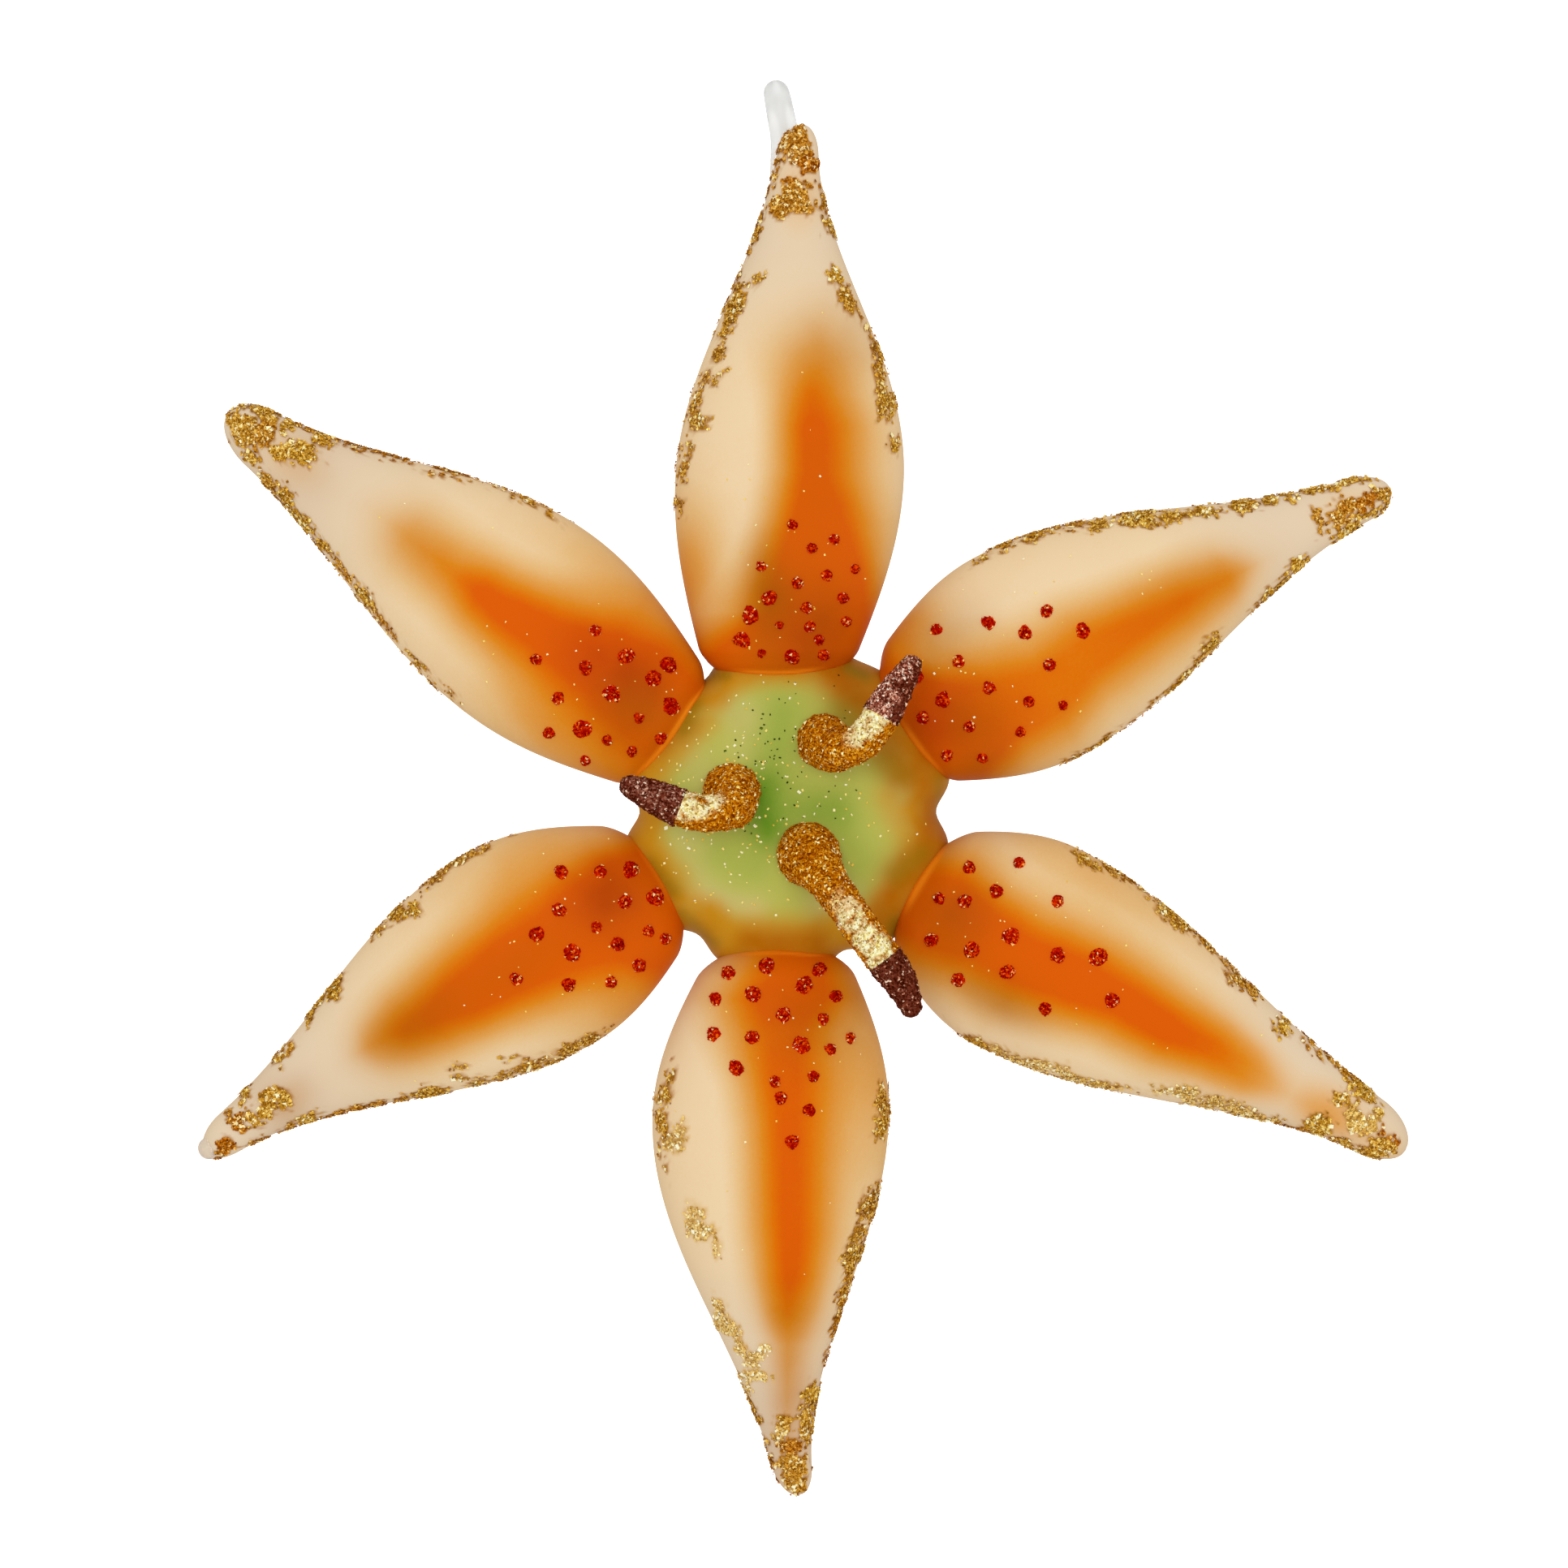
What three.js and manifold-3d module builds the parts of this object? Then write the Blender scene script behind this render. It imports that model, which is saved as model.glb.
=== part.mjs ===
// A tiger lily in blown glass, made to hang: six hollow petals round a hollow hub, three solid stamens
// and a drawn glass hook behind the upper petal's tip.
// Millimetres, +Z up, and the flower faces -Y. The origin is the inside top of the hook's bend.
import * as THREE from "three";
import { mergeVertices } from "three/addons/utils/BufferGeometryUtils.js";
import Module from "manifold-3d";

const wasm = await Module();
wasm.setup();

// ---- Driving dimensions. "Along" is the distance from the flower's middle towards a petal's tip,
// "across" is to the left of that line seen from the front, and "depth" is towards the viewer.

const WALL = 1.1; // blown wall
const GAP = 0.3; // left between two pieces of glass that are fused on the real ornament

// The hub: a flattened bulb with a dimple in front. Its rim reaches out to webRadius under each petal
// and dips in at the valley between two petals.
const HUB = {
  middle: new THREE.Vector2(-0.4, -0.8),
  webRadius: 14.5,
  valleyWidth: 8,
  frontDepth: 8.2,
  backDepth: 7.6,
  fullness: 0.85,
  dimpleDepth: 1.5,
  dimpleRadius: 4.2,
  boreRadius: 3.4,
  boreSides: 10,
  sides: 36,
  rings: 10,
};
const VALLEYS = [
  { angle: 181, radius: 12.7 },
  { angle: 123, radius: 13.2 },
  { angle: 65, radius: 14.2 },
  { angle: -1, radius: 12.9 },
  { angle: -68, radius: 13.2 },
  { angle: -125, radius: 13.3 },
];

// What all six petals share.
const NECK_AT = 12; // where the outline starts to swell
const BASE_ROUND = 3.2; // length of the rounded end that laps over the hub
const NECK_FLATNESS = 0.82; // depth of a section over its width
const BELLY_FLATNESS = 0.6;
const ROUND = 1; // the section at the tip
const FLATNESS_FADE = 1.5; // how late the section turns round towards the tip
const FLICK_FADE = 10; // how late the flick of the tip sets in
const BASE_LIFT = 1.6; // the base stands forward of the flower's middle plane
const TIP_ROUND = 1.6; // length of the rounded tip over the tip's half width
const SOLID_TIP = 6; // the hollow of a petal ends this far short of its tip
const PETAL_SIDES = 20;
const PETAL_STEPS = 12;
const HOLLOW_SIDES = 10;
const HOLLOW_STEPS = 8;

// One entry for each petal, clockwise from the top. belly, neck and tip are half widths, lap is where
// its rounded base ends over the hub, and recurve is how far back its tip bends. sway moves the
// petal's middle line across at the base, in the middle and at the tip, and flick moves the last few
// millimetres of the tip alone. spots are along and across.
const PETALS = [
  {
    name: "petal_top", angle: 89.3, length: 58.3, lap: 9.8,
    neck: 6.7, belly: 9.9, bellyAt: 27.5, tip: 1.8, sway: [1.3, -0.7, 0.9], flick: -2, recurve: 1,
    spots: [
      [12, 0], [12.5, -2.5], [12.5, 2.5], [13.5, -2.5], [13.5, 4.5], [15, -4.5], [15, -1.5], [15, 1],
      [15.5, 3.5], [16.5, -1], [17, 2], [17.5, -4], [18.5, -0.5], [19, -3], [20, -5.5], [20, 3],
      [21.5, -1.5], [22, -3.5], [23.5, 0],
    ],
  },
  {
    name: "petal_upper_right", angle: 27.1, length: 58.5, lap: 10.5,
    neck: 6, belly: 9.8, bellyAt: 23.6, tip: 2.2, sway: [1.6, 0.5, 0.7], flick: -0.3, recurve: 4,
    spots: [
      [13, 1], [13.5, -2.5], [14.5, 4.5], [15.5, 1.5], [16, -4.5], [16, -1.5], [17.5, 7], [18, 4],
      [19.5, 1], [20, -4], [22, -1.5], [22, 5.5], [24.5, -3.5], [24.5, 3.5], [25, 0], [26.5, 4.5],
      [29, 1.5],
    ],
  },
  {
    name: "petal_lower_right", angle: -30.1, length: 61.3, lap: 12.2,
    neck: 4.6, belly: 9.7, bellyAt: 23.8, tip: 2.4, sway: [-1.1, -0.4, 1.5], flick: -1.6, recurve: 4,
    spots: [
      [15, -1], [16, 2.5], [16.5, -4.5], [17, 0], [19, 2], [19.5, -3.5], [19.5, 5], [20, -6],
      [22, -1], [23.5, -3.5], [24, 4], [26.5, 0], [28, -4.5], [29.5, 1.5], [32.5, -1],
    ],
  },
  {
    name: "petal_bottom", angle: -89.3, length: 60.3, lap: 12.1,
    neck: 5.2, belly: 10.2, bellyAt: 27.3, tip: 1.6, sway: [-1.3, -1.2, -0.7], flick: 0.1, recurve: 4,
    spots: [
      [14.5, -2.5], [14.5, 2], [15, -5.5], [16, 1], [16.5, -3.5], [17, -6.5], [17, 3.5], [18.5, -1],
      [19, 2.5], [20, -7], [20.5, -3.5], [20.5, 5], [21, 0.5], [21.5, 3], [23, -5], [23.5, 1.5],
      [24, -1.5], [25.5, -1], [26.5, 1.5], [29.5, -0.5],
    ],
  },
  {
    name: "petal_lower_left", angle: -149.1, length: 59.3, lap: 12.2,
    neck: 4.6, belly: 10, bellyAt: 25.7, tip: 1.9, sway: [0.2, -0.7, -0.4], flick: 0.5, recurve: 4,
    spots: [
      [14.5, 1], [15, -2], [15.5, 5], [16.5, 0], [16.5, 3.5], [17, -3], [18.5, 5.5], [19, 3],
      [20, -5], [20, 1], [21, 5.5], [22, -2], [23, 1.5], [24.5, -1], [24.5, 4], [28, 1],
    ],
  },
  {
    name: "petal_upper_left", angle: 145.7, length: 59.2, lap: 10.2,
    neck: 5.9, belly: 9.4, bellyAt: 26.9, tip: 2.4, sway: [1, -0.7, 0.5], flick: -0.9, recurve: 4,
    spots: [
      [12, 2], [13, -1], [13.5, 4], [14.5, 1.5], [15, -3.5], [15.5, -2], [16, 4.5], [16.5, 7],
      [18, 1], [18, 5], [18.5, -2], [20.5, 7], [21, 0.5], [21.5, 4], [22, -2.5], [25, 2.5],
    ],
  },
];

// A spot is a low bead of glitter glue: its smallest and largest radius, its height, and how deep its
// root sits in the wall.
const SPOT = { smallest: 0.5, largest: 0.85, height: 0.35, root: 0.5, sides: 5, seed: 11 };

// Stamens: the middle line of each rod as x, z and depth, from inside the hub to the tip.
const ROD_RADIUS = 1.55;
const ANTHER_TIP_RADIUS = 0.85;
const ANTHER_TAPER = 1.8; // how late an anther narrows towards its tip
const FOOT_LENGTH = 3.6; // the swollen foot fades out over this length
const ROD_START = 3; // length of rod that is inside the hub and cut away
const ROD_SIDES = 9;
const END_FLAT = 0.12; // a melted rod's round end keeps this share of its radius as a flat
const STAMENS = [
  {
    name: "upper_right", footRadius: 2.35, antherLength: 6,
    line: [
      [2.8, 5, 3.5], [2.8, 4.9, 7.5], [3.8, 4.1, 10.8], [6.3, 5.2, 12.3], [8.7, 9, 12.2],
      [10.7, 12.1, 11.6],
    ],
  },
  {
    name: "left", footRadius: 2.5, antherLength: 5.6,
    line: [
      [-5.1, 0.9, 3.5], [-5.1, 0.6, 7.5], [-5, -0.7, 10.8], [-8, -1.1, 12], [-12, 0.4, 11.8],
      [-14.5, 1.5, 11.2],
    ],
  },
  {
    name: "bottom", footRadius: 2.8, antherLength: 5.6,
    line: [
      [1.4, -4.6, 3.5], [1.6, -4.9, 7.5], [3.2, -7.1, 10.8], [6.2, -11.3, 12.4], [9.3, -15.6, 12.2],
      [10.5, -18.4, 11.6],
    ],
  },
];

// The hook: a tapering rod that rises behind the upper petal, bends back and comes down again.
const HOOK = {
  bendRadius: 4.2,
  bendMiddle: { y: 9, z: 57.35 },
  legX: -0.55,
  topX: -1.3,
  rootRadius: 1.6,
  topRadius: 1.1,
  endRadius: 0.9,
  root: [[-0.3, 2.4, 45], [-0.5, 4.1, 50], [-0.5, 4.7, 54]],
  end: [[-0.6, 13.3, 54.8], [-0.6, 13.9, 52.9]],
  bendSteps: 6,
  rings: 22,
  sides: 10,
};

// The colours are those of the finished glass seen from a step away.
const PETAL_GLASS = { color: 0xe6c59a, roughness: 0.3, metalness: 0 };
const HUB_GLASS = { color: 0xa9ad55, roughness: 0.28, metalness: 0 };
const CLEAR_GLASS = { color: 0xe9ebe6, roughness: 0.05, metalness: 0 };
const GOLD_GLITTER = { color: 0xb5701c, roughness: 0.5, metalness: 0.6 };
const PLUM_GLITTER = { color: 0x5d3338, roughness: 0.5, metalness: 0.5 };

// ---- Shared shape code.

const mix = (from, to, part) => from + (to - from) * part;
const share = (value, from, to) => THREE.MathUtils.clamp((value - from) / (to - from), 0, 1);

// The signed turn from one angle to another, from -180 to 180 degrees.
const turnBetween = (from, to) => THREE.MathUtils.euclideanModulo(to - from + 180, 360) - 180;

// A quarter circle's profile: 0 at the very end of a rounded body, 1 once past the rounding.
const rounded = (x) => Math.sqrt(1 - (1 - THREE.MathUtils.clamp(x, 0, 1)) ** 2);

// A closed skin through rings of points that run anticlockwise about the way the rings advance.
function skin(rings, firstPole, lastPole) {
  const sides = rings[0].length;
  const points = [...rings.flat(), firstPole, lastPole];
  const [first, last] = [points.length - 2, points.length - 1];
  const index = [];
  for (let side = 0; side < sides; side++) {
    const next = (side + 1) % sides;
    index.push(first, next, side);
    for (let ring = 0; ring < rings.length - 1; ring++) {
      const [here, there] = [ring * sides, (ring + 1) * sides];
      index.push(here + side, here + next, there + next);
      index.push(here + side, there + next, there + side);
    }
    const top = (rings.length - 1) * sides;
    index.push(last, top + side, top + next);
  }
  const geometry = new THREE.BufferGeometry().setFromPoints(points);
  geometry.setIndex(index);
  return geometry;
}

const smoothLine = (points) => new THREE.CatmullRomCurve3(points, false, "centripetal");

function toSolid(geometry) {
  const bare = geometry.clone();
  bare.deleteAttribute("normal");
  bare.deleteAttribute("uv");
  const merged = mergeVertices(bare, 1e-4);
  return new wasm.Manifold(new wasm.Mesh({
    numProp: 3,
    vertProperties: new Float32Array(merged.attributes.position.array),
    triVerts: new Uint32Array(merged.index.array),
  }));
}

function toMesh(name, solid, finish) {
  const { vertProperties, triVerts } = solid.getMesh();
  const geometry = new THREE.BufferGeometry();
  geometry.setAttribute("position", new THREE.BufferAttribute(vertProperties, 3));
  geometry.setIndex(new THREE.BufferAttribute(triVerts, 1));
  geometry.computeVertexNormals();
  const mesh = new THREE.Mesh(geometry, new THREE.MeshStandardMaterial(finish));
  mesh.name = name;
  return mesh;
}

// A round rod along a curve. radiusAt takes the length from the curve's start.
function rod(curve, radiusAt, { from = 0, to = curve.getLength(), rings, sides }) {
  const length = curve.getLength();
  const frames = curve.computeFrenetFrames(rings * 4);
  const ringAt = (ring) => {
    const along = mix(from, to, ring / rings);
    const step = Math.round((along / length) * rings * 4);
    const centre = curve.getPointAt(along / length);
    return Array.from({ length: sides }, (_, side) => {
      const turn = (side / sides) * 2 * Math.PI;
      return centre.clone()
        .addScaledVector(frames.normals[step], radiusAt(along) * Math.cos(turn))
        .addScaledVector(frames.binormals[step], radiusAt(along) * Math.sin(turn));
    });
  };
  const rounds = Array.from({ length: rings + 1 }, (_, ring) => ringAt(ring));
  return toSolid(skin(rounds, curve.getPointAt(from / length), curve.getPointAt(to / length)));
}

// ---- The hub.

// How far the rim stands out at an angle: it dips in at each valley.
function rimRadius(angle, grow) {
  const away = (valley) => Math.abs(turnBetween(angle, valley.angle));
  const nearest = VALLEYS.reduce((best, valley) => (away(valley) < away(best) ? valley : best));
  const outOfValley = 1 - Math.exp(-((away(nearest) / HUB.valleyWidth) ** 2));
  return mix(nearest.radius, HUB.webRadius, outOfValley) + grow;
}

function hubBulb(grow, sides, rings) {
  const place = (x, depth, z) => new THREE.Vector3(HUB.middle.x + x, -depth, HUB.middle.y + z);
  const depthAt = (polar, spread) => {
    const dome = polar > Math.PI / 2 ? HUB.frontDepth : HUB.backDepth;
    const dimple = Math.exp(-((spread / HUB.dimpleRadius) ** 2));
    return -(dome + grow) * Math.cos(polar) - (polar > Math.PI / 2 ? HUB.dimpleDepth * dimple : 0);
  };
  const ringAt = (ring) => {
    const polar = (Math.PI * ring) / (rings + 1);
    const out = Math.sin(polar) ** HUB.fullness;
    return Array.from({ length: sides }, (_, side) => {
      const angle = (side / sides) * 360;
      const spread = out * rimRadius(angle, grow);
      const turn = THREE.MathUtils.degToRad(angle);
      return place(spread * Math.cos(turn), depthAt(polar, spread), spread * Math.sin(turn));
    });
  };
  const rounds = Array.from({ length: rings }, (_, ring) => ringAt(ring + 1));
  return toSolid(skin(rounds, place(0, depthAt(0, 0), 0), place(0, depthAt(Math.PI, 0), 0)));
}

// A round bore through the hub's wall into each petal, so that all the hollows are one.
function hubBore(petal) {
  const reach = 2 * HUB.webRadius;
  const bore = new THREE.CylinderGeometry(HUB.boreRadius, HUB.boreRadius, reach, HUB.boreSides);
  bore.translate(0, reach / 2, 0);
  bore.rotateZ(-Math.PI / 2);
  bore.rotateY(-THREE.MathUtils.degToRad(petal.angle));
  return toSolid(bore);
}

function hubMesh() {
  const hollow = hubBulb(-WALL, HUB.sides / 2, HUB.rings - 3);
  const bores = wasm.Manifold.union(PETALS.map(hubBore));
  return toMesh("hub", hubBulb(0, HUB.sides, HUB.rings).subtract(hollow).subtract(bores), HUB_GLASS);
}

// What is fused to the hub is cut back to this, the hub's own skin a gap further out.
const hubSeat = hubBulb(GAP, HUB.sides, HUB.rings);

// ---- The petals.

// The section across a petal: its middle, half width and half depth. grow swells or shrinks it.
function petalSection(petal, along, grow = 0) {
  const rise = share(along, NECK_AT, petal.bellyAt);
  const fall = share(along, petal.bellyAt, petal.length);
  const swell = Math.sin((rise * Math.PI) / 2);
  const taper = (1 + Math.cos(fall * Math.PI)) / 2;
  const outline = rise < 1 ? mix(petal.neck, petal.belly, swell) : mix(petal.tip, petal.belly, taper);
  const flatness = rise < 1
    ? mix(NECK_FLATNESS, BELLY_FLATNESS, rise)
    : mix(BELLY_FLATNESS, ROUND, fall ** FLATNESS_FADE);
  const baseEnd = rounded((along - petal.lap + grow) / BASE_ROUND);
  const tipEnd = rounded((petal.length + grow - along) / (TIP_ROUND * petal.tip));
  const ends = baseEnd * tipEnd;
  const run = share(along, NECK_AT, petal.length);
  const [baseSway, bow, tipSway] = petal.sway;
  return {
    across: mix(baseSway, tipSway, run) + bow * Math.sin(run * Math.PI) + petal.flick * run ** FLICK_FADE,
    depth: BASE_LIFT - (BASE_LIFT + petal.recurve) * run ** 2,
    halfWidth: Math.max(outline + grow, 0) * ends,
    halfDepth: Math.max(outline * flatness + grow, 0) * ends,
  };
}

// From along, across and depth to the flower's own axes.
function petalPoint(petal, along, across, depth) {
  const angle = THREE.MathUtils.degToRad(petal.angle);
  return new THREE.Vector3(
    along * Math.cos(angle) - across * Math.sin(angle),
    -depth,
    along * Math.sin(angle) + across * Math.cos(angle),
  );
}

// Stations crowd towards both rounded ends.
function petalStations(from, to, tipRound, steps) {
  const capShares = [1, 2, 3].map((step) => 1 - Math.cos((step / 3) * (Math.PI / 2)));
  const base = capShares.map((part) => from + BASE_ROUND * part);
  const tip = capShares.map((part) => to - tipRound * part).reverse();
  const body = Array.from({ length: steps }, (_, step) => mix(base[2], tip[0], (step + 1) / (steps + 1)));
  return [...base, ...body, ...tip];
}

function petalBody(petal, grow, to, steps, sides) {
  const from = petal.lap - grow;
  const rounds = petalStations(from, to, TIP_ROUND * petal.tip, steps).map((along) => {
    const { across, depth, halfWidth, halfDepth } = petalSection(petal, along, grow);
    return Array.from({ length: sides }, (_, side) => {
      const turn = (side / sides) * 2 * Math.PI;
      const [sideways, forwards] = [halfWidth * Math.cos(turn), halfDepth * Math.sin(turn)];
      return petalPoint(petal, along, across + sideways, depth + forwards);
    });
  });
  const pole = (along) => {
    const { across, depth } = petalSection(petal, along, grow);
    return petalPoint(petal, along, across, depth);
  };
  return toSolid(skin(rounds, pole(from), pole(to)));
}

function frontDepth(petal, along, across) {
  const section = petalSection(petal, along);
  const off = (across - section.across) / section.halfWidth;
  return section.depth + section.halfDepth * Math.sqrt(Math.max(1 - off ** 2, 0));
}

// A flat five-sided bead that stands square on the petal's front skin, its root sunk in the wall.
function spot(petal, [along, across], radius) {
  const profile = [
    [0, -SPOT.root], [radius, -SPOT.root], [radius * 0.9, SPOT.height / 2], [0, SPOT.height],
  ];
  const bead = new THREE.LatheGeometry(profile.map(([x, y]) => new THREE.Vector2(x, y)), SPOT.sides);
  const step = 0.1;
  const at = (a, b) => petalPoint(petal, a, b, frontDepth(petal, a, b));
  const centre = at(along, across);
  const lengthways = at(along + step, across).sub(centre);
  const sideways = at(along, across + step).sub(centre);
  const up = lengthways.cross(sideways).normalize();
  bead.applyQuaternion(new THREE.Quaternion().setFromUnitVectors(new THREE.Vector3(0, 1, 0), up));
  bead.translate(centre.x, centre.y, centre.z);
  return toSolid(bead);
}

// The wedge between the two valleys beside a petal, which keeps neighbours apart at their bases.
function petalSector(petal) {
  const turns = VALLEYS.map((valley) => turnBetween(petal.angle, valley.angle));
  const reach = 2 * petal.length;
  const corner = (degrees) => {
    const angle = THREE.MathUtils.degToRad(petal.angle + degrees);
    return new THREE.Vector2(reach * Math.cos(angle), reach * Math.sin(angle));
  };
  const axis = THREE.MathUtils.degToRad(petal.angle);
  const away = new THREE.Vector2(GAP * Math.cos(axis), GAP * Math.sin(axis));
  const right = Math.max(...turns.filter((turn) => turn < 0));
  const left = Math.min(...turns.filter((turn) => turn > 0));
  const outline = new THREE.Shape([away, corner(right).add(away), corner(left).add(away)]);
  const wedge = new THREE.ExtrudeGeometry(outline, { depth: reach, bevelEnabled: false });
  wedge.translate(0, 0, -reach / 2);
  wedge.rotateX(Math.PI / 2);
  return toSolid(wedge);
}

// Mulberry32: the same draws on every run.
function seededRandom(seed) {
  let state = seed;
  return () => {
    state = (state + 0x6d2b79f5) | 0;
    let t = Math.imul(state ^ (state >>> 15), 1 | state);
    t = (t + Math.imul(t ^ (t >>> 7), 61 | t)) ^ t;
    return ((t ^ (t >>> 14)) >>> 0) / 4294967296;
  };
}

function petalMesh(petal, number) {
  const random = seededRandom(SPOT.seed + number);
  const beads = petal.spots.map((place) => spot(petal, place, mix(SPOT.smallest, SPOT.largest, random())));
  const outside = petalBody(petal, 0, petal.length, PETAL_STEPS, PETAL_SIDES);
  const inside = petalBody(petal, -WALL, petal.length - SOLID_TIP, HOLLOW_STEPS, HOLLOW_SIDES);
  const shell = outside.add(wasm.Manifold.union(beads)).subtract(inside);
  return toMesh(petal.name, shell.intersect(petalSector(petal)).subtract(hubSeat), PETAL_GLASS);
}

// ---- The stamens.

function stamenMeshes(stamen) {
  const curve = smoothLine(stamen.line.map(([x, z, depth]) => new THREE.Vector3(x, -depth, z)));
  const length = curve.getLength();
  const antherStart = length - stamen.antherLength;
  const filamentRadius = (along) => {
    const swelling = Math.exp(-((Math.max(along - ROD_START, 0) / FOOT_LENGTH) ** 2));
    return mix(ROD_RADIUS, stamen.footRadius, swelling);
  };
  const antherRadius = (along) => {
    const taper = mix(ROD_RADIUS, ANTHER_TIP_RADIUS, share(along, antherStart, length) ** ANTHER_TAPER);
    return taper * rounded((length - along) / ANTHER_TIP_RADIUS + END_FLAT);
  };
  const filament = rod(curve, filamentRadius, { to: antherStart, rings: 14, sides: ROD_SIDES });
  const anther = rod(curve, antherRadius, { from: antherStart + GAP, rings: 10, sides: ROD_SIDES });
  return [
    toMesh(`filament_${stamen.name}`, filament.subtract(hubSeat), GOLD_GLITTER),
    toMesh(`anther_${stamen.name}`, anther, PLUM_GLITTER),
  ];
}

// ---- The hook.

function hookMesh() {
  const { bendMiddle, bendRadius, bendSteps, legX, topX } = HOOK;
  const bend = Array.from({ length: bendSteps + 1 }, (_, step) => {
    const turn = (Math.PI * step) / bendSteps;
    return new THREE.Vector3(
      mix(legX, topX, Math.sin(turn)),
      bendMiddle.y - bendRadius * Math.cos(turn),
      bendMiddle.z + bendRadius * Math.sin(turn),
    );
  });
  const toPoint = ([x, y, z]) => new THREE.Vector3(x, y, z);
  const curve = smoothLine([...HOOK.root.map(toPoint), ...bend, ...HOOK.end.map(toPoint)]);
  const length = curve.getLength();
  const topPoint = HOOK.root.length + bendSteps / 2;
  const samples = 20 * (curve.points.length - 1);
  const top = curve.getLengths(samples)[20 * topPoint];
  const radiusAt = (along) => {
    const taper = along < top
      ? mix(HOOK.rootRadius, HOOK.topRadius, along / top)
      : mix(HOOK.topRadius, HOOK.endRadius, share(along, top, length));
    return taper * rounded((length - along) / HOOK.endRadius + END_FLAT);
  };
  const petalSeat = petalBody(PETALS[0], GAP, PETALS[0].length + GAP, PETAL_STEPS, PETAL_SIDES);
  const bent = rod(curve, radiusAt, { rings: HOOK.rings, sides: HOOK.sides });
  return toMesh("hook", bent.subtract(petalSeat), CLEAR_GLASS);
}

// ---- The ornament, moved so that it hangs from the origin.

const insideTop = HOOK.bendMiddle.z + HOOK.bendRadius - HOOK.topRadius;
const flower = new THREE.Group();
flower.add(hubMesh(), ...PETALS.map(petalMesh), ...STAMENS.flatMap(stamenMeshes), hookMesh());
flower.position.set(-HOOK.topX, -HOOK.bendMiddle.y, -insideTop);

const ornament = new THREE.Group();
ornament.add(flower);
export default ornament;
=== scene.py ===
import math

import bpy
import numpy as np
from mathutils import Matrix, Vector


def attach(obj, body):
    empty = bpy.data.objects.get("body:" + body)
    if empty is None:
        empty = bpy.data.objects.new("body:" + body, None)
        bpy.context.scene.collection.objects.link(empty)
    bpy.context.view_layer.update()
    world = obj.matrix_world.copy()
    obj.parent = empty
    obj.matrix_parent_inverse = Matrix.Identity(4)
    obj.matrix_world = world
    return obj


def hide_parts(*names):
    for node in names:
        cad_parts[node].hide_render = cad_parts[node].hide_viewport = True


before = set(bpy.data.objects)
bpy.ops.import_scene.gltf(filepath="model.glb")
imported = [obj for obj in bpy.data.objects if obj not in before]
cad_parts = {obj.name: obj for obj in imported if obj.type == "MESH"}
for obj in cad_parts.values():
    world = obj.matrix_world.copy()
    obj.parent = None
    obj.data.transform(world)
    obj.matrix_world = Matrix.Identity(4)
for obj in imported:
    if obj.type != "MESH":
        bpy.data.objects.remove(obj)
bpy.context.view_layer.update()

# ---- The hub: a hollow bulb of milky glass, blown first and drawn out into six webs, with a dimple in
# front. It is airbrushed yellow-green, deepest in the dimple, with orange and brown along its rim. Its
# pale butter strokes are partly paint and partly painted highlight, one of them painted light where the
# left stamen shades it, and the olive strokes by the petals' bases are partly olive spray and partly
# painted shade in the creases there. The satin comes from an acid dip. All places are in mm about the
# flower's middle: x, y to the back, z up.

MM = 0.001
MIDDLE = np.array([1.3, -9.0, -60.45])  # the flower's middle, from the inside top of the hook's bend

HUB_MIDDLE = np.array([-0.4, 0.0, -0.8])
WEB_RADIUS = 14.5
VALLEY_WIDTH = 8.0  # degrees
VALLEYS = np.array([(181, 12.7), (123, 13.2), (65, 14.2), (-1, 12.9), (-68, 13.2), (-125, 13.3)])
HUB_FRONT, HUB_BACK = 8.2, 7.6
HUB_FULLNESS = 0.85
DIMPLE_DEPTH, DIMPLE_RADIUS = 1.5, 4.2
HUB_RINGS, HUB_SIDES = 80, 200

LIME = (184, 186, 86)
LEAF_GREEN = (106, 148, 34)
# Pale butter: partly paint, partly painted highlight.
BUTTER_AND_HIGHLIGHT = (206, 190, 118)
RIM_AMBER = (204, 144, 24)
RIM_ORANGE = (180, 98, 0)
# Partly olive spray, partly painted shade in the creases where the petals rise from the hub.
OLIVE_AND_CREASE_SHADE = (150, 118, 14)
WARM_FROM, WARM_TO = 0.66, 0.84  # shares of the way out to the rim
WARM_STRENGTH, WARM_RAGGED = 0.95, 0.015
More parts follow.
